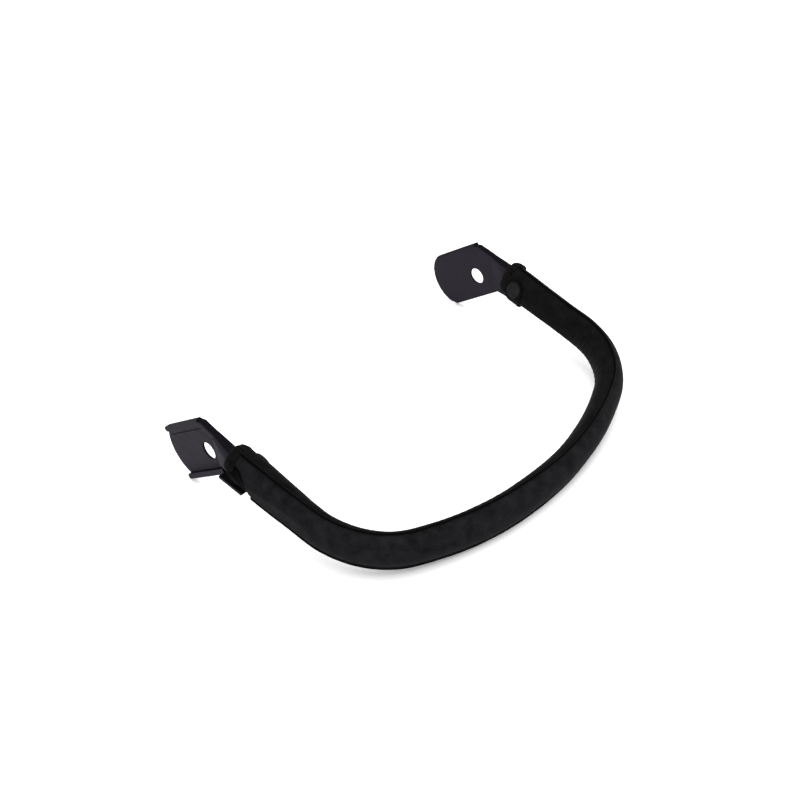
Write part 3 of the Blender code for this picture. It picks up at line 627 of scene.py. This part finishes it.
def simulate_sleeve():
    """The whole sleeve as one tube of cloth: pinned at its ends and seams, slack inside the bends."""
    distances = np.linspace(PANEL_START, FULL_LENGTH - PANEL_START, SIM_RINGS + 1)
    angles = np.arange(SIM_AROUND) * TAU / SIM_AROUND
    points = np.zeros((len(distances), SIM_AROUND, 3))
    pinned = np.zeros(points.shape[:2])
    slack = np.zeros(points.shape[:2])
    for i, distance in enumerate(distances):
        share = bend_share(distance)
        hold = 1.0 - smooth_step((end_distance(distance) - PANEL_START) / SIM_END_HOLD)
        for j, angle in enumerate(angles):
            points[i, j] = section_point(distance, *oval_point(distance, angle, -SIM_START_SHRINK))
            inside = max(0.0, -math.cos(angle + 0.1))
            slack[i, j] = min(1.0, share * inside ** 0.7 + 0.15 * abs(math.sin(angle * 2)))
            near = min(abs(wrapped(angle - top_seam(distance))), abs(wrapped(angle - LOWER_SEAM)))
            seam = 1.0 - smooth_step(near * SLEEVE_W / SIM_SEAM_HOLD)
            pinned[i, j] = max(hold, seam)
    points += noise(points, 160.0, NOISE_SEED)[..., None] * SIM_UNEVEN
    return Skin(inflate(points, pinned, slack))


SKIN = simulate_sleeve()


# --- sleeve ------------------------------------------------------------------------------------------


def outline_normals(points):
    """Outward directions on a grid that runs along the bar and round it, in that order."""
    along = np.gradient(points, axis=0)
    around = np.gradient(points, axis=1)
    made = np.cross(around, along)
    return made / np.maximum(np.linalg.norm(made, axis=2, keepdims=True), 1e-12)


def ease(fraction):
    """Quarter ellipse that runs from 1 at the leg's end to 0 at the cut's far end."""
    return np.sqrt(np.clip(1.0 - np.clip(fraction, 0.0, 1.0) ** 2, 0.0, 1.0))


def panel_distances():
    """Rings for a panel: RING_STEP apart, and closer where its end is cut away."""
    cut = [PANEL_START + CUT_LENGTH * math.sin(math.pi / 2 * i / CUT_RINGS) for i in range(CUT_RINGS + 1)]
    count = round((FULL_LENGTH - 2 * cut[-1]) / RING_STEP)
    middle = list(np.linspace(cut[-1], FULL_LENGTH - cut[-1], count + 1))[1:-1]
    return np.array(cut + middle + [FULL_LENGTH - d for d in reversed(cut)])


def panel_shares(count):
    """Places across a panel from 0 to 1, closer together next to both seams."""
    t = np.linspace(0.0, 1.0, count)
    return t - 0.11 * np.sin(TAU * t)


def seam_profile(gap):
    """Height of the cloth beside a seam, by distance from it: a ridge where it turns in, then the groove."""
    ridge = RIDGE_HEIGHT * np.exp(-((gap - RIDGE_PLACE) / RIDGE_WIDTH) ** 2)
    return ridge - GROOVE_DEPTH * np.exp(-(gap / GROOVE_FALL) ** 2)


def build_panel(name, low, high, low_cut, high_cut, cloth):
    """One panel between two seams. At both ends its free corner is cut back to a low or high section angle.
    A mask attribute, 1 in the seams, paints shade on the cloth there."""
    distances = panel_distances()
    shares = panel_shares(PANEL_COLUMNS)
    rows = []
    for distance in distances:
        back = ease((end_distance(distance) - PANEL_START) / CUT_LENGTH)
        start, end = low(distance), high(distance)
        start += 0.0 if low_cut is None else (low_cut - start) * back
        end += 0.0 if high_cut is None else (high_cut - end) * back
        rows.append(start + (end - start) * shares)
    angles = np.array(rows)
    spread = np.repeat(distances[:, None], len(shares), axis=1)
    points = SKIN.at(spread, angles)
    normals = outline_normals(points)
    radius = (SLEEVE_W + SLEEVE_H) / 2
    lift = np.zeros(angles.shape)
    painted_seam_shade = np.zeros(angles.shape)
    for seam in (top_seam, lower_seam, lower_seam_again):
        places = np.array([seam(d) for d in distances])[:, None]
        gap = np.abs(angles - places) * radius
        lift += seam_profile(gap)
        # painted shade mask: 1 down the middle of each seam
        painted_seam_shade = np.maximum(painted_seam_shade, np.exp(-(gap / SEAM_SHADE_WIDTH) ** 4))
    creases = noise(points * np.array([1.0, 1.0, 2.2]), 75.0, NOISE_SEED + 1) * CREASE_HEIGHT
    slant = np.sin(spread * 420 + angles * 3.4 + 2.0 * noise(points, 30.0, NOISE_SEED + 6))
    creases += slant * np.clip(noise(points, 26.0, NOISE_SEED + 9) - 0.15, 0.0, 1.0) * CREASE_HEIGHT
    inner_side = np.clip(-np.cos(angles), 0.0, 1.0)
    bend = np.array([bend_share(d) for d in distances])[:, None]
    drift = 2.6 * np.sin(spread * 61) + 1.1 * np.sin(angles * 3 + spread * 40)
    gather = np.sin(spread / GATHER_PITCH * TAU + drift)
    patch = np.clip(0.45 + noise(points, 95.0, NOISE_SEED + 4), 0.0, 1.6)
    creases += gather * patch * inner_side * bend * GATHER_HEIGHT
    away = smooth_step((end_distance(spread) - PANEL_START) / CREASE_START)
    points = points + normals * (lift + creases * away)[..., None]
    if low is top_seam:
        points = dimpled(points)
    made = new_object(name, points.reshape(-1, 3), grid_faces(len(distances), len(shares), flip=True), [cloth])
    grid_uv(made.data, np.stack([spread, angles * radius], axis=2))
    made.data.attributes.new("painted_seam_shade", "FLOAT", "POINT").data.foreach_set("value", painted_seam_shade.reshape(-1))
    modifier(made, "SOLIDIFY", "cloth_thickness", thickness=FABRIC, offset=-1.0)
    modifier(made, "SUBSURF", "smooth", levels=1, render_levels=1)
    return made


def dimpled(points):
    """Pull the inner panel in under each tab, and further where its press stud is set."""
    for side in LABELS:
        origin, axis = (np.array(v) for v in snap_line(side))
        offset = points - origin
        height = offset @ axis
        radius = np.linalg.norm(offset - height[..., None] * axis, axis=2)
        floor = DIMPLE_FLOOR + TAB_SEAT * smooth_step((radius - DIMPLE_RADIUS) / DIMPLE_SLOPE)
        floor += TAB_SEAT_RIM * smooth_step((radius - TAB_SEAT_RADIUS) / TAB_SEAT_SLOPE)
        near = (height > 0) & (radius < TAB_SEAT_REACH)
        drop = np.where(near, np.maximum(height - floor, 0.0), 0.0)
        points = points - drop[..., None] * axis
    return points


def seam_path(angle, start, height):
    """Points along a seam at a height over the oval, with the outward direction at each."""
    count = round((FULL_LENGTH - 2 * start) / SEAM_STEP)
    path = []
    for distance in np.linspace(start, FULL_LENGTH - start, count + 1):
        centre, outward = full_run(distance)
        place = angle(distance)
        out = Vector((math.cos(place) / SLEEVE_W, math.sin(place) / SLEEVE_H)).normalized()
        away = outward * out.x + Vector((0.0, 0.0, out.y))
        spot = section_point(distance, *oval_point(distance, place))
        path.append((spot + away * height, away))
    return path


def tube_along(path, radius, sides=6, first=0):
    """Points and faces of a thin rod along a path, narrowed and closed at both ends."""
    verts = []
    for i, (spot, away) in enumerate(path):
        ahead = (path[min(i + 1, len(path) - 1)][0] - path[max(i - 1, 0)][0]).normalized()
        across = ahead.cross(away).normalized()
        size = radius * (0.45 if i in (0, len(path) - 1) else 1.0)
        for j in range(sides):
            angle = TAU * j / sides
            verts.append(spot + (across * math.cos(angle) + away * math.sin(angle)) * size)
    faces = grid_faces(len(path), sides, closed=True, first=first)
    faces.append(tuple(first + j for j in reversed(range(sides))))
    last = first + (len(path) - 1) * sides
    faces.append(tuple(last + j for j in range(sides)))
    return verts, faces


def add_stitches(verts, faces, path, length, pitch, radius, rise=STITCH_RISE):
    """Lay short bowed stitches along a path of (point, outward direction)."""
    spots = [p[0] for p in path]
    lengths = [0.0]
    for a, b in zip(spots, spots[1:]):
        lengths.append(lengths[-1] + (b - a).length)
    count = int(lengths[-1] / pitch)
    for number in range(count):
        middle = (number + 0.5) * lengths[-1] / count
        stitch = []
        for k in range(5):
            t = k / 4
            spot, away = along_path(path, lengths, middle + length * (t - 0.5))
            stitch.append((spot + away * rise * math.sin(math.pi * t), away))
        more, sides = tube_along(stitch, radius, first=len(verts))
        verts += more
        faces += sides


def along_path(path, lengths, distance):
    """The point and outward direction at a distance along a path."""
    distance = min(max(distance, 0.0), lengths[-1])
    i = int(np.searchsorted(lengths, distance)) - 1
    i = min(max(i, 0), len(path) - 2)
    t = (distance - lengths[i]) / max(lengths[i + 1] - lengths[i], 1e-9)
    return path[i][0].lerp(path[i + 1][0], t), path[i][1].lerp(path[i + 1][1], t).normalized()


def build_seam(name, angle, start):
    """The seam's turned-in allowance down in the groove, in near-black cloth as painted shade, with the thread
    that closes it.
    """
    verts, faces = tube_along(seam_path(angle, start, -FOLD_DEPTH), FOLD_RADIUS, 8)
    fold_faces = len(faces)
    thread = seam_path(angle, start, -THREAD_DEPTH)
    add_stitches(verts, faces, thread, STITCH_LENGTH, STITCH_PITCH, THREAD_RADIUS)
    made = recalculated(new_object(name, verts, faces, [SHADE_BLACK_CLOTH, THREAD]))
    for polygon in made.data.polygons:
        polygon.material_index = 0 if polygon.index < fold_faces else 1
    return made


def build_hem(side):
    """The folded band on the sleeve's end: a roll with its own gathers, sewn down at its front edge."""
    columns = len(HEM_PROFILE)
    points = np.zeros((HEM_STEPS + 1, columns, 3))
    pinned = np.zeros(points.shape[:2])
    for i in range(HEM_STEPS + 1):
        share = i / HEM_STEPS
        angle = HEM_FROM + (HEM_TO - HEM_FROM) * share
        tuck = 1.0 - smooth_step(min(share, 1 - share) / HEM_TUCK_SHARE)
        pleat = 0.5 * math.sin(angle * 21 + 1.7 * math.sin(angle * 5 + side))
        pleat += 0.5 * math.sin(angle * 34 + side * 2)
        normal = Vector((math.cos(angle) / SLEEVE_W, math.sin(angle) / SLEEVE_H)).normalized()
        for j, (along, height) in enumerate(HEM_PROFILE):
            rise = height * MM
            if 0 < j < HEM_TOP:
                rise += pleat * HEM_PLEAT * (1.3 if j < HEM_FRONT else 0.7) - tuck * HEM_TUCK
            centre, outward = run(along * MM, side)
            out, up = oval_point(HEM_FULLNESS_AT, angle)
            out += normal.x * rise
            up += normal.y * rise
            points[i, j] = centre + outward * out + Vector((0.0, 0.0, up))
            pinned[i, j] = 1.0 if j == 0 or j > HEM_TOP else 0.0
    pinned[0] = pinned[-1] = 1.0
    points = inflate(points, pinned, cap=0.5 * MM, bending=0.03)
    faces = grid_faces(HEM_STEPS + 1, columns, closed=True)
    faces.append(tuple(range(columns)))
    faces.append(tuple(HEM_STEPS * columns + j for j in reversed(range(columns))))
    made = new_object(f"hem_{LABELS[side]}", points.reshape(-1, 3), faces, [HEM_FABRIC])
    uv = np.zeros((HEM_STEPS + 1, columns, 2))
    uv[..., 0] = np.arange(HEM_STEPS + 1)[:, None] / HEM_STEPS * HEM_CLOTH[0]
    uv[..., 1] = np.arange(columns) / columns * HEM_CLOTH[1]
    grid_uv(made.data, uv)
    recalculated(made)
    modifier(made, "SUBSURF", "smooth", levels=1, render_levels=2)
    return made


SLEEVE_OUTER = build_panel("sleeve_outer", lower_seam, top_seam, OUTER_CUT_ANGLE, None, LIT_OUTER_FABRIC)
SLEEVE_INNER = build_panel("sleeve_inner", top_seam, lower_seam_again, None, INNER_CUT_ANGLE, SHADED_INNER_FABRIC)
TOP_WELT = build_seam("top_seam", top_seam, PANEL_START + 1 * MM)
LOWER_WELT = build_seam("lower_seam", lower_seam, PANEL_START + CUT_LENGTH)
HEMS = {side: build_hem(side) for side in LABELS}


# --- moulded brackets and foam, refined from their CAD shapes ------------------------------------------


def copied(node, name, kind):
    """A CAD node's shape as one clean mesh, with its triangles joined."""
    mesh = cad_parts[node].data.copy()
    mesh.name = name
    made = bpy.data.objects.new(name, mesh)
    bpy.context.scene.collection.objects.link(made)
    mesh.materials.clear()
    mesh.materials.append(kind)
    bm = bmesh.new()
    bm.from_mesh(mesh)
    bmesh.ops.remove_doubles(bm, verts=bm.verts, dist=0.002 * MM)
    bmesh.ops.dissolve_limit(bm, angle_limit=math.radians(1.0), verts=bm.verts, edges=bm.edges)
    bm.to_mesh(mesh)
    bm.free()
    if mesh.has_custom_normals:
        mesh.attributes.remove(mesh.attributes["custom_normal"])
    mesh.shade_smooth()
    return made


def moulded(node, name):
    """A bracket with the soft edges and filled corners of a moulding: remeshed finely, then relaxed."""
    made = copied(node, name, MOULDING)
    modifier(made, "REMESH", "skin", mode="VOXEL", voxel_size=MOULD_VOXEL, use_smooth_shade=True)
    modifier(made, "SMOOTH", "soft_edges", factor=0.5, iterations=MOULD_RELAX)
    return made


def padding(node, name):
    """The foam with softened edges."""
    made = copied(node, name, FOAM)
    modifier(made, "BEVEL", "soft_edges", width=0.6 * MM, segments=2, limit_method="ANGLE",
             angle_limit=math.radians(50))
    return made


def build_shade_lining(side):
    """Near-black lining that closes the foam's end where the outer panel is cut away; its blackness is painted
    shade for the hollow there.
    """
    points = np.zeros((LINING_ROWS, LINING_COLUMNS, 3))
    for i, along in enumerate(np.linspace(LINING_FROM, LINING_TO, LINING_ROWS)):
        centre, outward = run(float(along), side)
        for j, degrees in enumerate(np.linspace(*LINING_ANGLES, LINING_COLUMNS)):
            angle = math.radians(degrees)
            sag = LINING_SAG * math.sin(angle * 9 + along * 420)
            out = (SLEEVE_W - LINING_INSET + sag) * math.cos(angle)
            up = (SLEEVE_H - LINING_INSET + sag) * math.sin(angle)
            points[i, j] = centre + outward * out + Vector((0.0, 0.0, up))
    faces = grid_faces(LINING_ROWS, LINING_COLUMNS, flip=side < 0)
    made = new_object(f"corner_shade_lining_{LABELS[side]}", points.reshape(-1, 3), faces, [SHADE_BLACK_CLOTH])
    grid_uv(made.data, np.indices((LINING_ROWS, LINING_COLUMNS)).transpose(1, 2, 0) * LINING_CLOTH_STEP)
    modifier(made, "SOLIDIFY", "cloth_thickness", thickness=0.5 * MM, offset=-1.0)
    modifier(made, "SUBSURF", "smooth", levels=1, render_levels=1)
    return made


BRACKETS = {side: moulded(f"end_bracket_{label}", f"bracket_{label}") for side, label in LABELS.items()}
FOAM_CORE = padding("foam_pad", "foam_core")
SHADE_LININGS = {side: build_shade_lining(side) for side in LABELS}


# --- tabs and press studs ----------------------------------------------------------------------------


def tab_curve():
    """Mid-line of the tab as (out, up), from a bend at the hinge to a flat top, each with its height up
    the flat part from the stud's axis."""
    axis = Vector((-math.cos(SNAP_LEAN), math.sin(SNAP_LEAN)))
    rising = Vector((math.sin(SNAP_LEAN), math.cos(SNAP_LEAN)))
    middle = Vector((0.0, SNAP_RAISE)) + axis * (TAB_BASE + TAB_THICKNESS / 2)
    start = Vector(TAB_ROOT)
    corner = Vector(TAB_CORNER)
    flat = middle + rising * TAB_FLAT_FROM
    points = []
    for i in range(TAB_CURVE_ROWS):
        t = i / TAB_CURVE_ROWS
        points.append((start * (1 - t) ** 2 + corner * (2 * t * (1 - t)) + flat * t ** 2, TAB_FLAT_FROM))
    heights = [TAB_FLAT_FROM * (1 - i / TAB_FLAT_ROWS) for i in range(TAB_FLAT_ROWS)]
    heights += [TAB_HALF_WIDTH * math.sin(TAB_ROUND_TO * i / TAB_ROUND_ROWS) for i in range(TAB_ROUND_ROWS + 1)]
    return points + [(middle + rising * height, height) for height in heights]


def tab_rows(side):
    """For each row across the tab: its middle, its outward direction, its half width and its height."""
    centre, outward = run(SNAP_PLACE, side)
    curve = tab_curve()
    rows = []
    for i, (point, height) in enumerate(curve):
        tangent = (curve[min(i + 1, len(curve) - 1)][0] - curve[max(i - 1, 0)][0]).normalized()
        normal = Vector((-tangent.y, tangent.x))
        half = math.sqrt(max(TAB_HALF_WIDTH ** 2 - max(height, 0.0) ** 2, 0.0))
        narrow = smooth_step(1.0 - i / TAB_CURVE_ROWS)
        half += (TAB_ROOT_HALF - TAB_HALF_WIDTH) * float(narrow)
        middle = centre + outward * point.x + Vector((0.0, 0.0, point.y))
        rows.append((middle, outward * normal.x + Vector((0.0, 0.0, normal.y)), half, height))
    return rows


def tab_ahead(side):
    """Direction along the leg, away from its end, at the press stud."""
    return (run(SNAP_PLACE + 1 * MM, side)[0] - run(SNAP_PLACE, side)[0]).normalized()


def build_tab(side):
    """A turned fabric tab: two skins with a ridge at the edge and a groove under the topstitching."""
    columns = TAB_COLUMNS
    ahead = tab_ahead(side)
    rows = tab_rows(side)
    skins = ([], [])
    for middle, away, half, height in rows:
        for skin, face in zip(skins, (-1.0, 1.0)):
            for j in range(columns):
                share = math.sin((2 * j / (columns - 1) - 1) * math.pi / 2)
                near = min((1 - abs(share)) * half, (TAB_HALF_WIDTH - height) * 0.9 + 0.4 * MM)
                swell = min(1.0, max(near, 0.0) / (1.2 * MM)) ** 0.5
                puff = 0.5 * TAB_THICKNESS * (0.35 + 0.65 * swell)
                puff += 0.18 * MM * math.exp(-((near - 1.0 * MM) / (0.7 * MM)) ** 2)
                puff -= 0.16 * MM * math.exp(-((near - 2.1 * MM) / (0.35 * MM)) ** 2)
                skin.append(middle + away * face * puff + ahead * half * share)
    count = len(rows)
    shift = count * columns
    faces = grid_faces(count, columns) + grid_faces(count, columns, flip=True, first=shift)
    rim = list(range(columns)) + [i * columns + columns - 1 for i in range(1, count)]
    rim += [(count - 1) * columns + j for j in range(columns - 2, -1, -1)]
    rim += [i * columns for i in range(count - 2, 0, -1)]
    for a, b in zip(rim, rim[1:] + rim[:1]):
        faces.append((a, b, b + shift, a + shift))
    made = recalculated(new_object(f"tab_{LABELS[side]}", skins[0] + skins[1], faces, [HEM_FABRIC]))
    uv = np.zeros((2, count, columns, 2))
    uv[..., 0] = np.arange(columns) * TAB_CLOTH_STEP
    uv[..., 1] = np.arange(count)[:, None] * TAB_CLOTH_STEP
    grid_uv(made.data, uv)
    modifier(made, "SUBSURF", "smooth", levels=1, render_levels=1)
    return made


def build_tab_roll(side):
    """The roll of cloth under the leg that the tab hangs from when it is open."""
    path = []
    for i in range(9):
        centre, outward = run(SNAP_PLACE + TAB_ROOT_HALF * (i / 4 - 1) * 0.97, side)
        path.append((centre + outward * TAB_ROLL[0] + Vector((0.0, 0.0, TAB_ROLL[1])), Vector((0.0, 0.0, 1.0))))
    verts, faces = tube_along(path, TAB_ROLL_R, 16)
    return recalculated(new_object(f"tab_roll_{LABELS[side]}", verts, faces, [HEM_FABRIC]))


def build_tab_stitches(side):
    """Topstitching that follows the tab's edge, a little way in."""
    inset = TAB_STITCH_INSET
    ahead = tab_ahead(side)
    inward = snap_line(side)[1]
    left, right = [], []
    for middle, away, half, height in tab_rows(side):
        if height > (TAB_HALF_WIDTH - inset) * 0.98:
            break
        reach = math.sqrt((TAB_HALF_WIDTH - inset) ** 2 - max(height, 0.0) ** 2)
        reach = min(reach, half - inset) if height < 0 else reach
        away = away if away.dot(inward) > 0 else -away
        spot = middle + away * 0.45 * MM
        left.append((spot - ahead * reach, away))
        right.append((spot + ahead * reach, away))
    verts, faces = [], []
    add_stitches(verts, faces, left + right[::-1], 1.7 * MM, 2.5 * MM, 0.16 * MM, rise=0.18 * MM)
    return recalculated(new_object(f"tab_stitches_{LABELS[side]}", verts, faces, [THREAD]))


def lathe(name, profile, origin, axis, kind):
    """Turn a profile of (height, radius) pairs round an axis."""
    count = LATHE_SIDES
    axis = axis.normalized()
    across = axis.orthogonal().normalized()
    other = axis.cross(across)
    verts = []
    for height, radius in profile:
        for i in range(count):
            angle = TAU * i / count
            verts.append(origin + axis * height + (across * math.cos(angle) + other * math.sin(angle)) * radius)
    faces = grid_faces(len(profile), count, closed=True)
    faces.append(tuple(reversed(range(count))))
    faces.append(tuple((len(profile) - 1) * count + i for i in range(count)))
    return recalculated(new_object(name, verts, faces, [kind]))


def build_cap(side):
    """The press stud's cap: a rolled rim round a shallow dished centre."""
    origin, axis = snap_line(side)
    r = CAP_RADIUS
    b = CAP_BASE
    profile = [(b - 1.1 * MM, STUD_POST_R), (b, STUD_POST_R), (b, r - 0.5 * MM), (b + 0.1 * MM, r - 0.15 * MM),
               (b + 0.3 * MM, r), (b + 0.6 * MM, r - 0.05 * MM), (b + 0.9 * MM, r - 0.35 * MM),
               (b + 1.16 * MM, r - 0.85 * MM), (b + 1.28 * MM, r - 1.4 * MM), (b + 1.25 * MM, r - 1.9 * MM),
               (b + 1.1 * MM, r - 2.3 * MM), (b + 0.97 * MM, r - 2.7 * MM), (b + 0.95 * MM, r - 3.4 * MM),
               (b + 1.02 * MM, r - 5.0 * MM), (b + 1.05 * MM, 0.3 * MM)]
    return lathe(f"stud_cap_{LABELS[side]}", profile, origin, axis, SNAP)


TABS = {side: build_tab(side) for side in LABELS}
TAB_ROLLS = {side: build_tab_roll(side) for side in LABELS}
TAB_THREADS = {side: build_tab_stitches(side) for side in LABELS}
CAPS = {side: build_cap(side) for side in LABELS}


# --- carried-over CAD nodes --------------------------------------------------------------------------


def dress(node, kind):
    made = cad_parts[node]
    made.data.materials.clear()
    made.data.materials.append(kind)


dress("core_tube", TUBE)
for label in LABELS.values():
    dress(f"cross_rivet_{label}_1", RIVET)
    dress(f"cross_rivet_{label}_2", RIVET)
    dress(f"press_stud_{label}", SNAP)
    dress(f"stud_eyelet_{label}", SNAP)
    dress(f"snap_socket_{label}", SNAP)


def attach(piece, body, kind, *nodes):
    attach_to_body(piece, body)
    if nodes:
        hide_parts(*nodes)


attach(SLEEVE_OUTER, "bar", "fabric", "sleeve_outer_panel")
attach(SLEEVE_INNER, "bar", "fabric", "sleeve_inner_panel")
attach(TOP_WELT, "bar", "fabric", "top_seam_welt")
attach(LOWER_WELT, "bar", "fabric", "lower_seam_welt")
attach(FOAM_CORE, "bar", "foam", "foam_pad")
for side, label in LABELS.items():
    attach(HEMS[side], "bar", "fabric", f"hem_band_{label}")
    attach(BRACKETS[side], "bar", "moulding", f"end_bracket_{label}")
    attach(SHADE_LININGS[side], "bar", "fabric")
    attach(TAB_ROLLS[side], "bar", "fabric")
    attach(TABS[side], f"{label}_tab", "fabric", f"snap_tab_{label}")
    attach(TAB_THREADS[side], f"{label}_tab", "fabric")
    attach(CAPS[side], f"{label}_tab", "snap", f"snap_cap_{label}")


# --- floor, light and camera -------------------------------------------------------------------------


def build_floor():
    verts = [(x * FLOOR_HALF, y * FLOOR_HALF, 0.0) for x, y in ((-1, -1), (1, -1), (1, 1), (-1, 1))]
    made = new_object("floor", verts, [(0, 1, 2, 3)], [make_floor("pale_floor")], place=None)


def area_light(name, place, size, power):
    """A square lamp that faces the origin."""
    data = bpy.data.lights.new(name, "AREA")
    data.shape = "SQUARE"
    data.size = size
    data.energy = power
    made = bpy.data.objects.new(name, data)
    made.location = place
    made.rotation_euler = (-Vector(place)).to_track_quat("-Z", "Y").to_euler()
    bpy.context.scene.collection.objects.link(made)


def build_lights():
    world = bpy.data.worlds.new("studio")
    world.use_nodes = True
    world.node_tree.nodes["Background"].inputs["Color"].default_value = (1.0, 1.0, 1.0, 1.0)
    world.node_tree.nodes["Background"].inputs["Strength"].default_value = 1.0
    bpy.context.scene.world = world
    area_light("overhead", (-0.1, -0.2, 1.6), size=1.9, power=36.0)
    area_light("key", (-0.9, -1.3, 0.8), size=0.8, power=5.0)


def build_camera():
    data = bpy.data.cameras.new("camera")
    data.lens = CAMERA_LENS
    data.sensor_width = CAMERA_SENSOR
    data.shift_x, data.shift_y = CAMERA_SHIFT
    data.clip_start = 0.01
    made = bpy.data.objects.new("camera", data)
    a, e, roll = CAMERA_AZIMUTH, CAMERA_ELEVATION, CAMERA_ROLL
    right = Vector((math.cos(a), math.sin(a), 0.0))
    back = Vector((math.sin(a) * math.cos(e), -math.cos(a) * math.cos(e), math.sin(e)))
    up = back.cross(right)
    turned = right * math.cos(roll) + up * math.sin(roll)
    upright = up * math.cos(roll) - right * math.sin(roll)
    axes = Matrix((turned, upright, back)).transposed().to_4x4()
    made.matrix_world = PLACE @ Matrix.Translation(back * CAMERA_DISTANCE) @ axes
    bpy.context.scene.collection.objects.link(made)
    bpy.context.scene.camera = made


build_floor()
build_lights()
build_camera()
bpy.context.scene.view_settings.view_transform = "Standard"
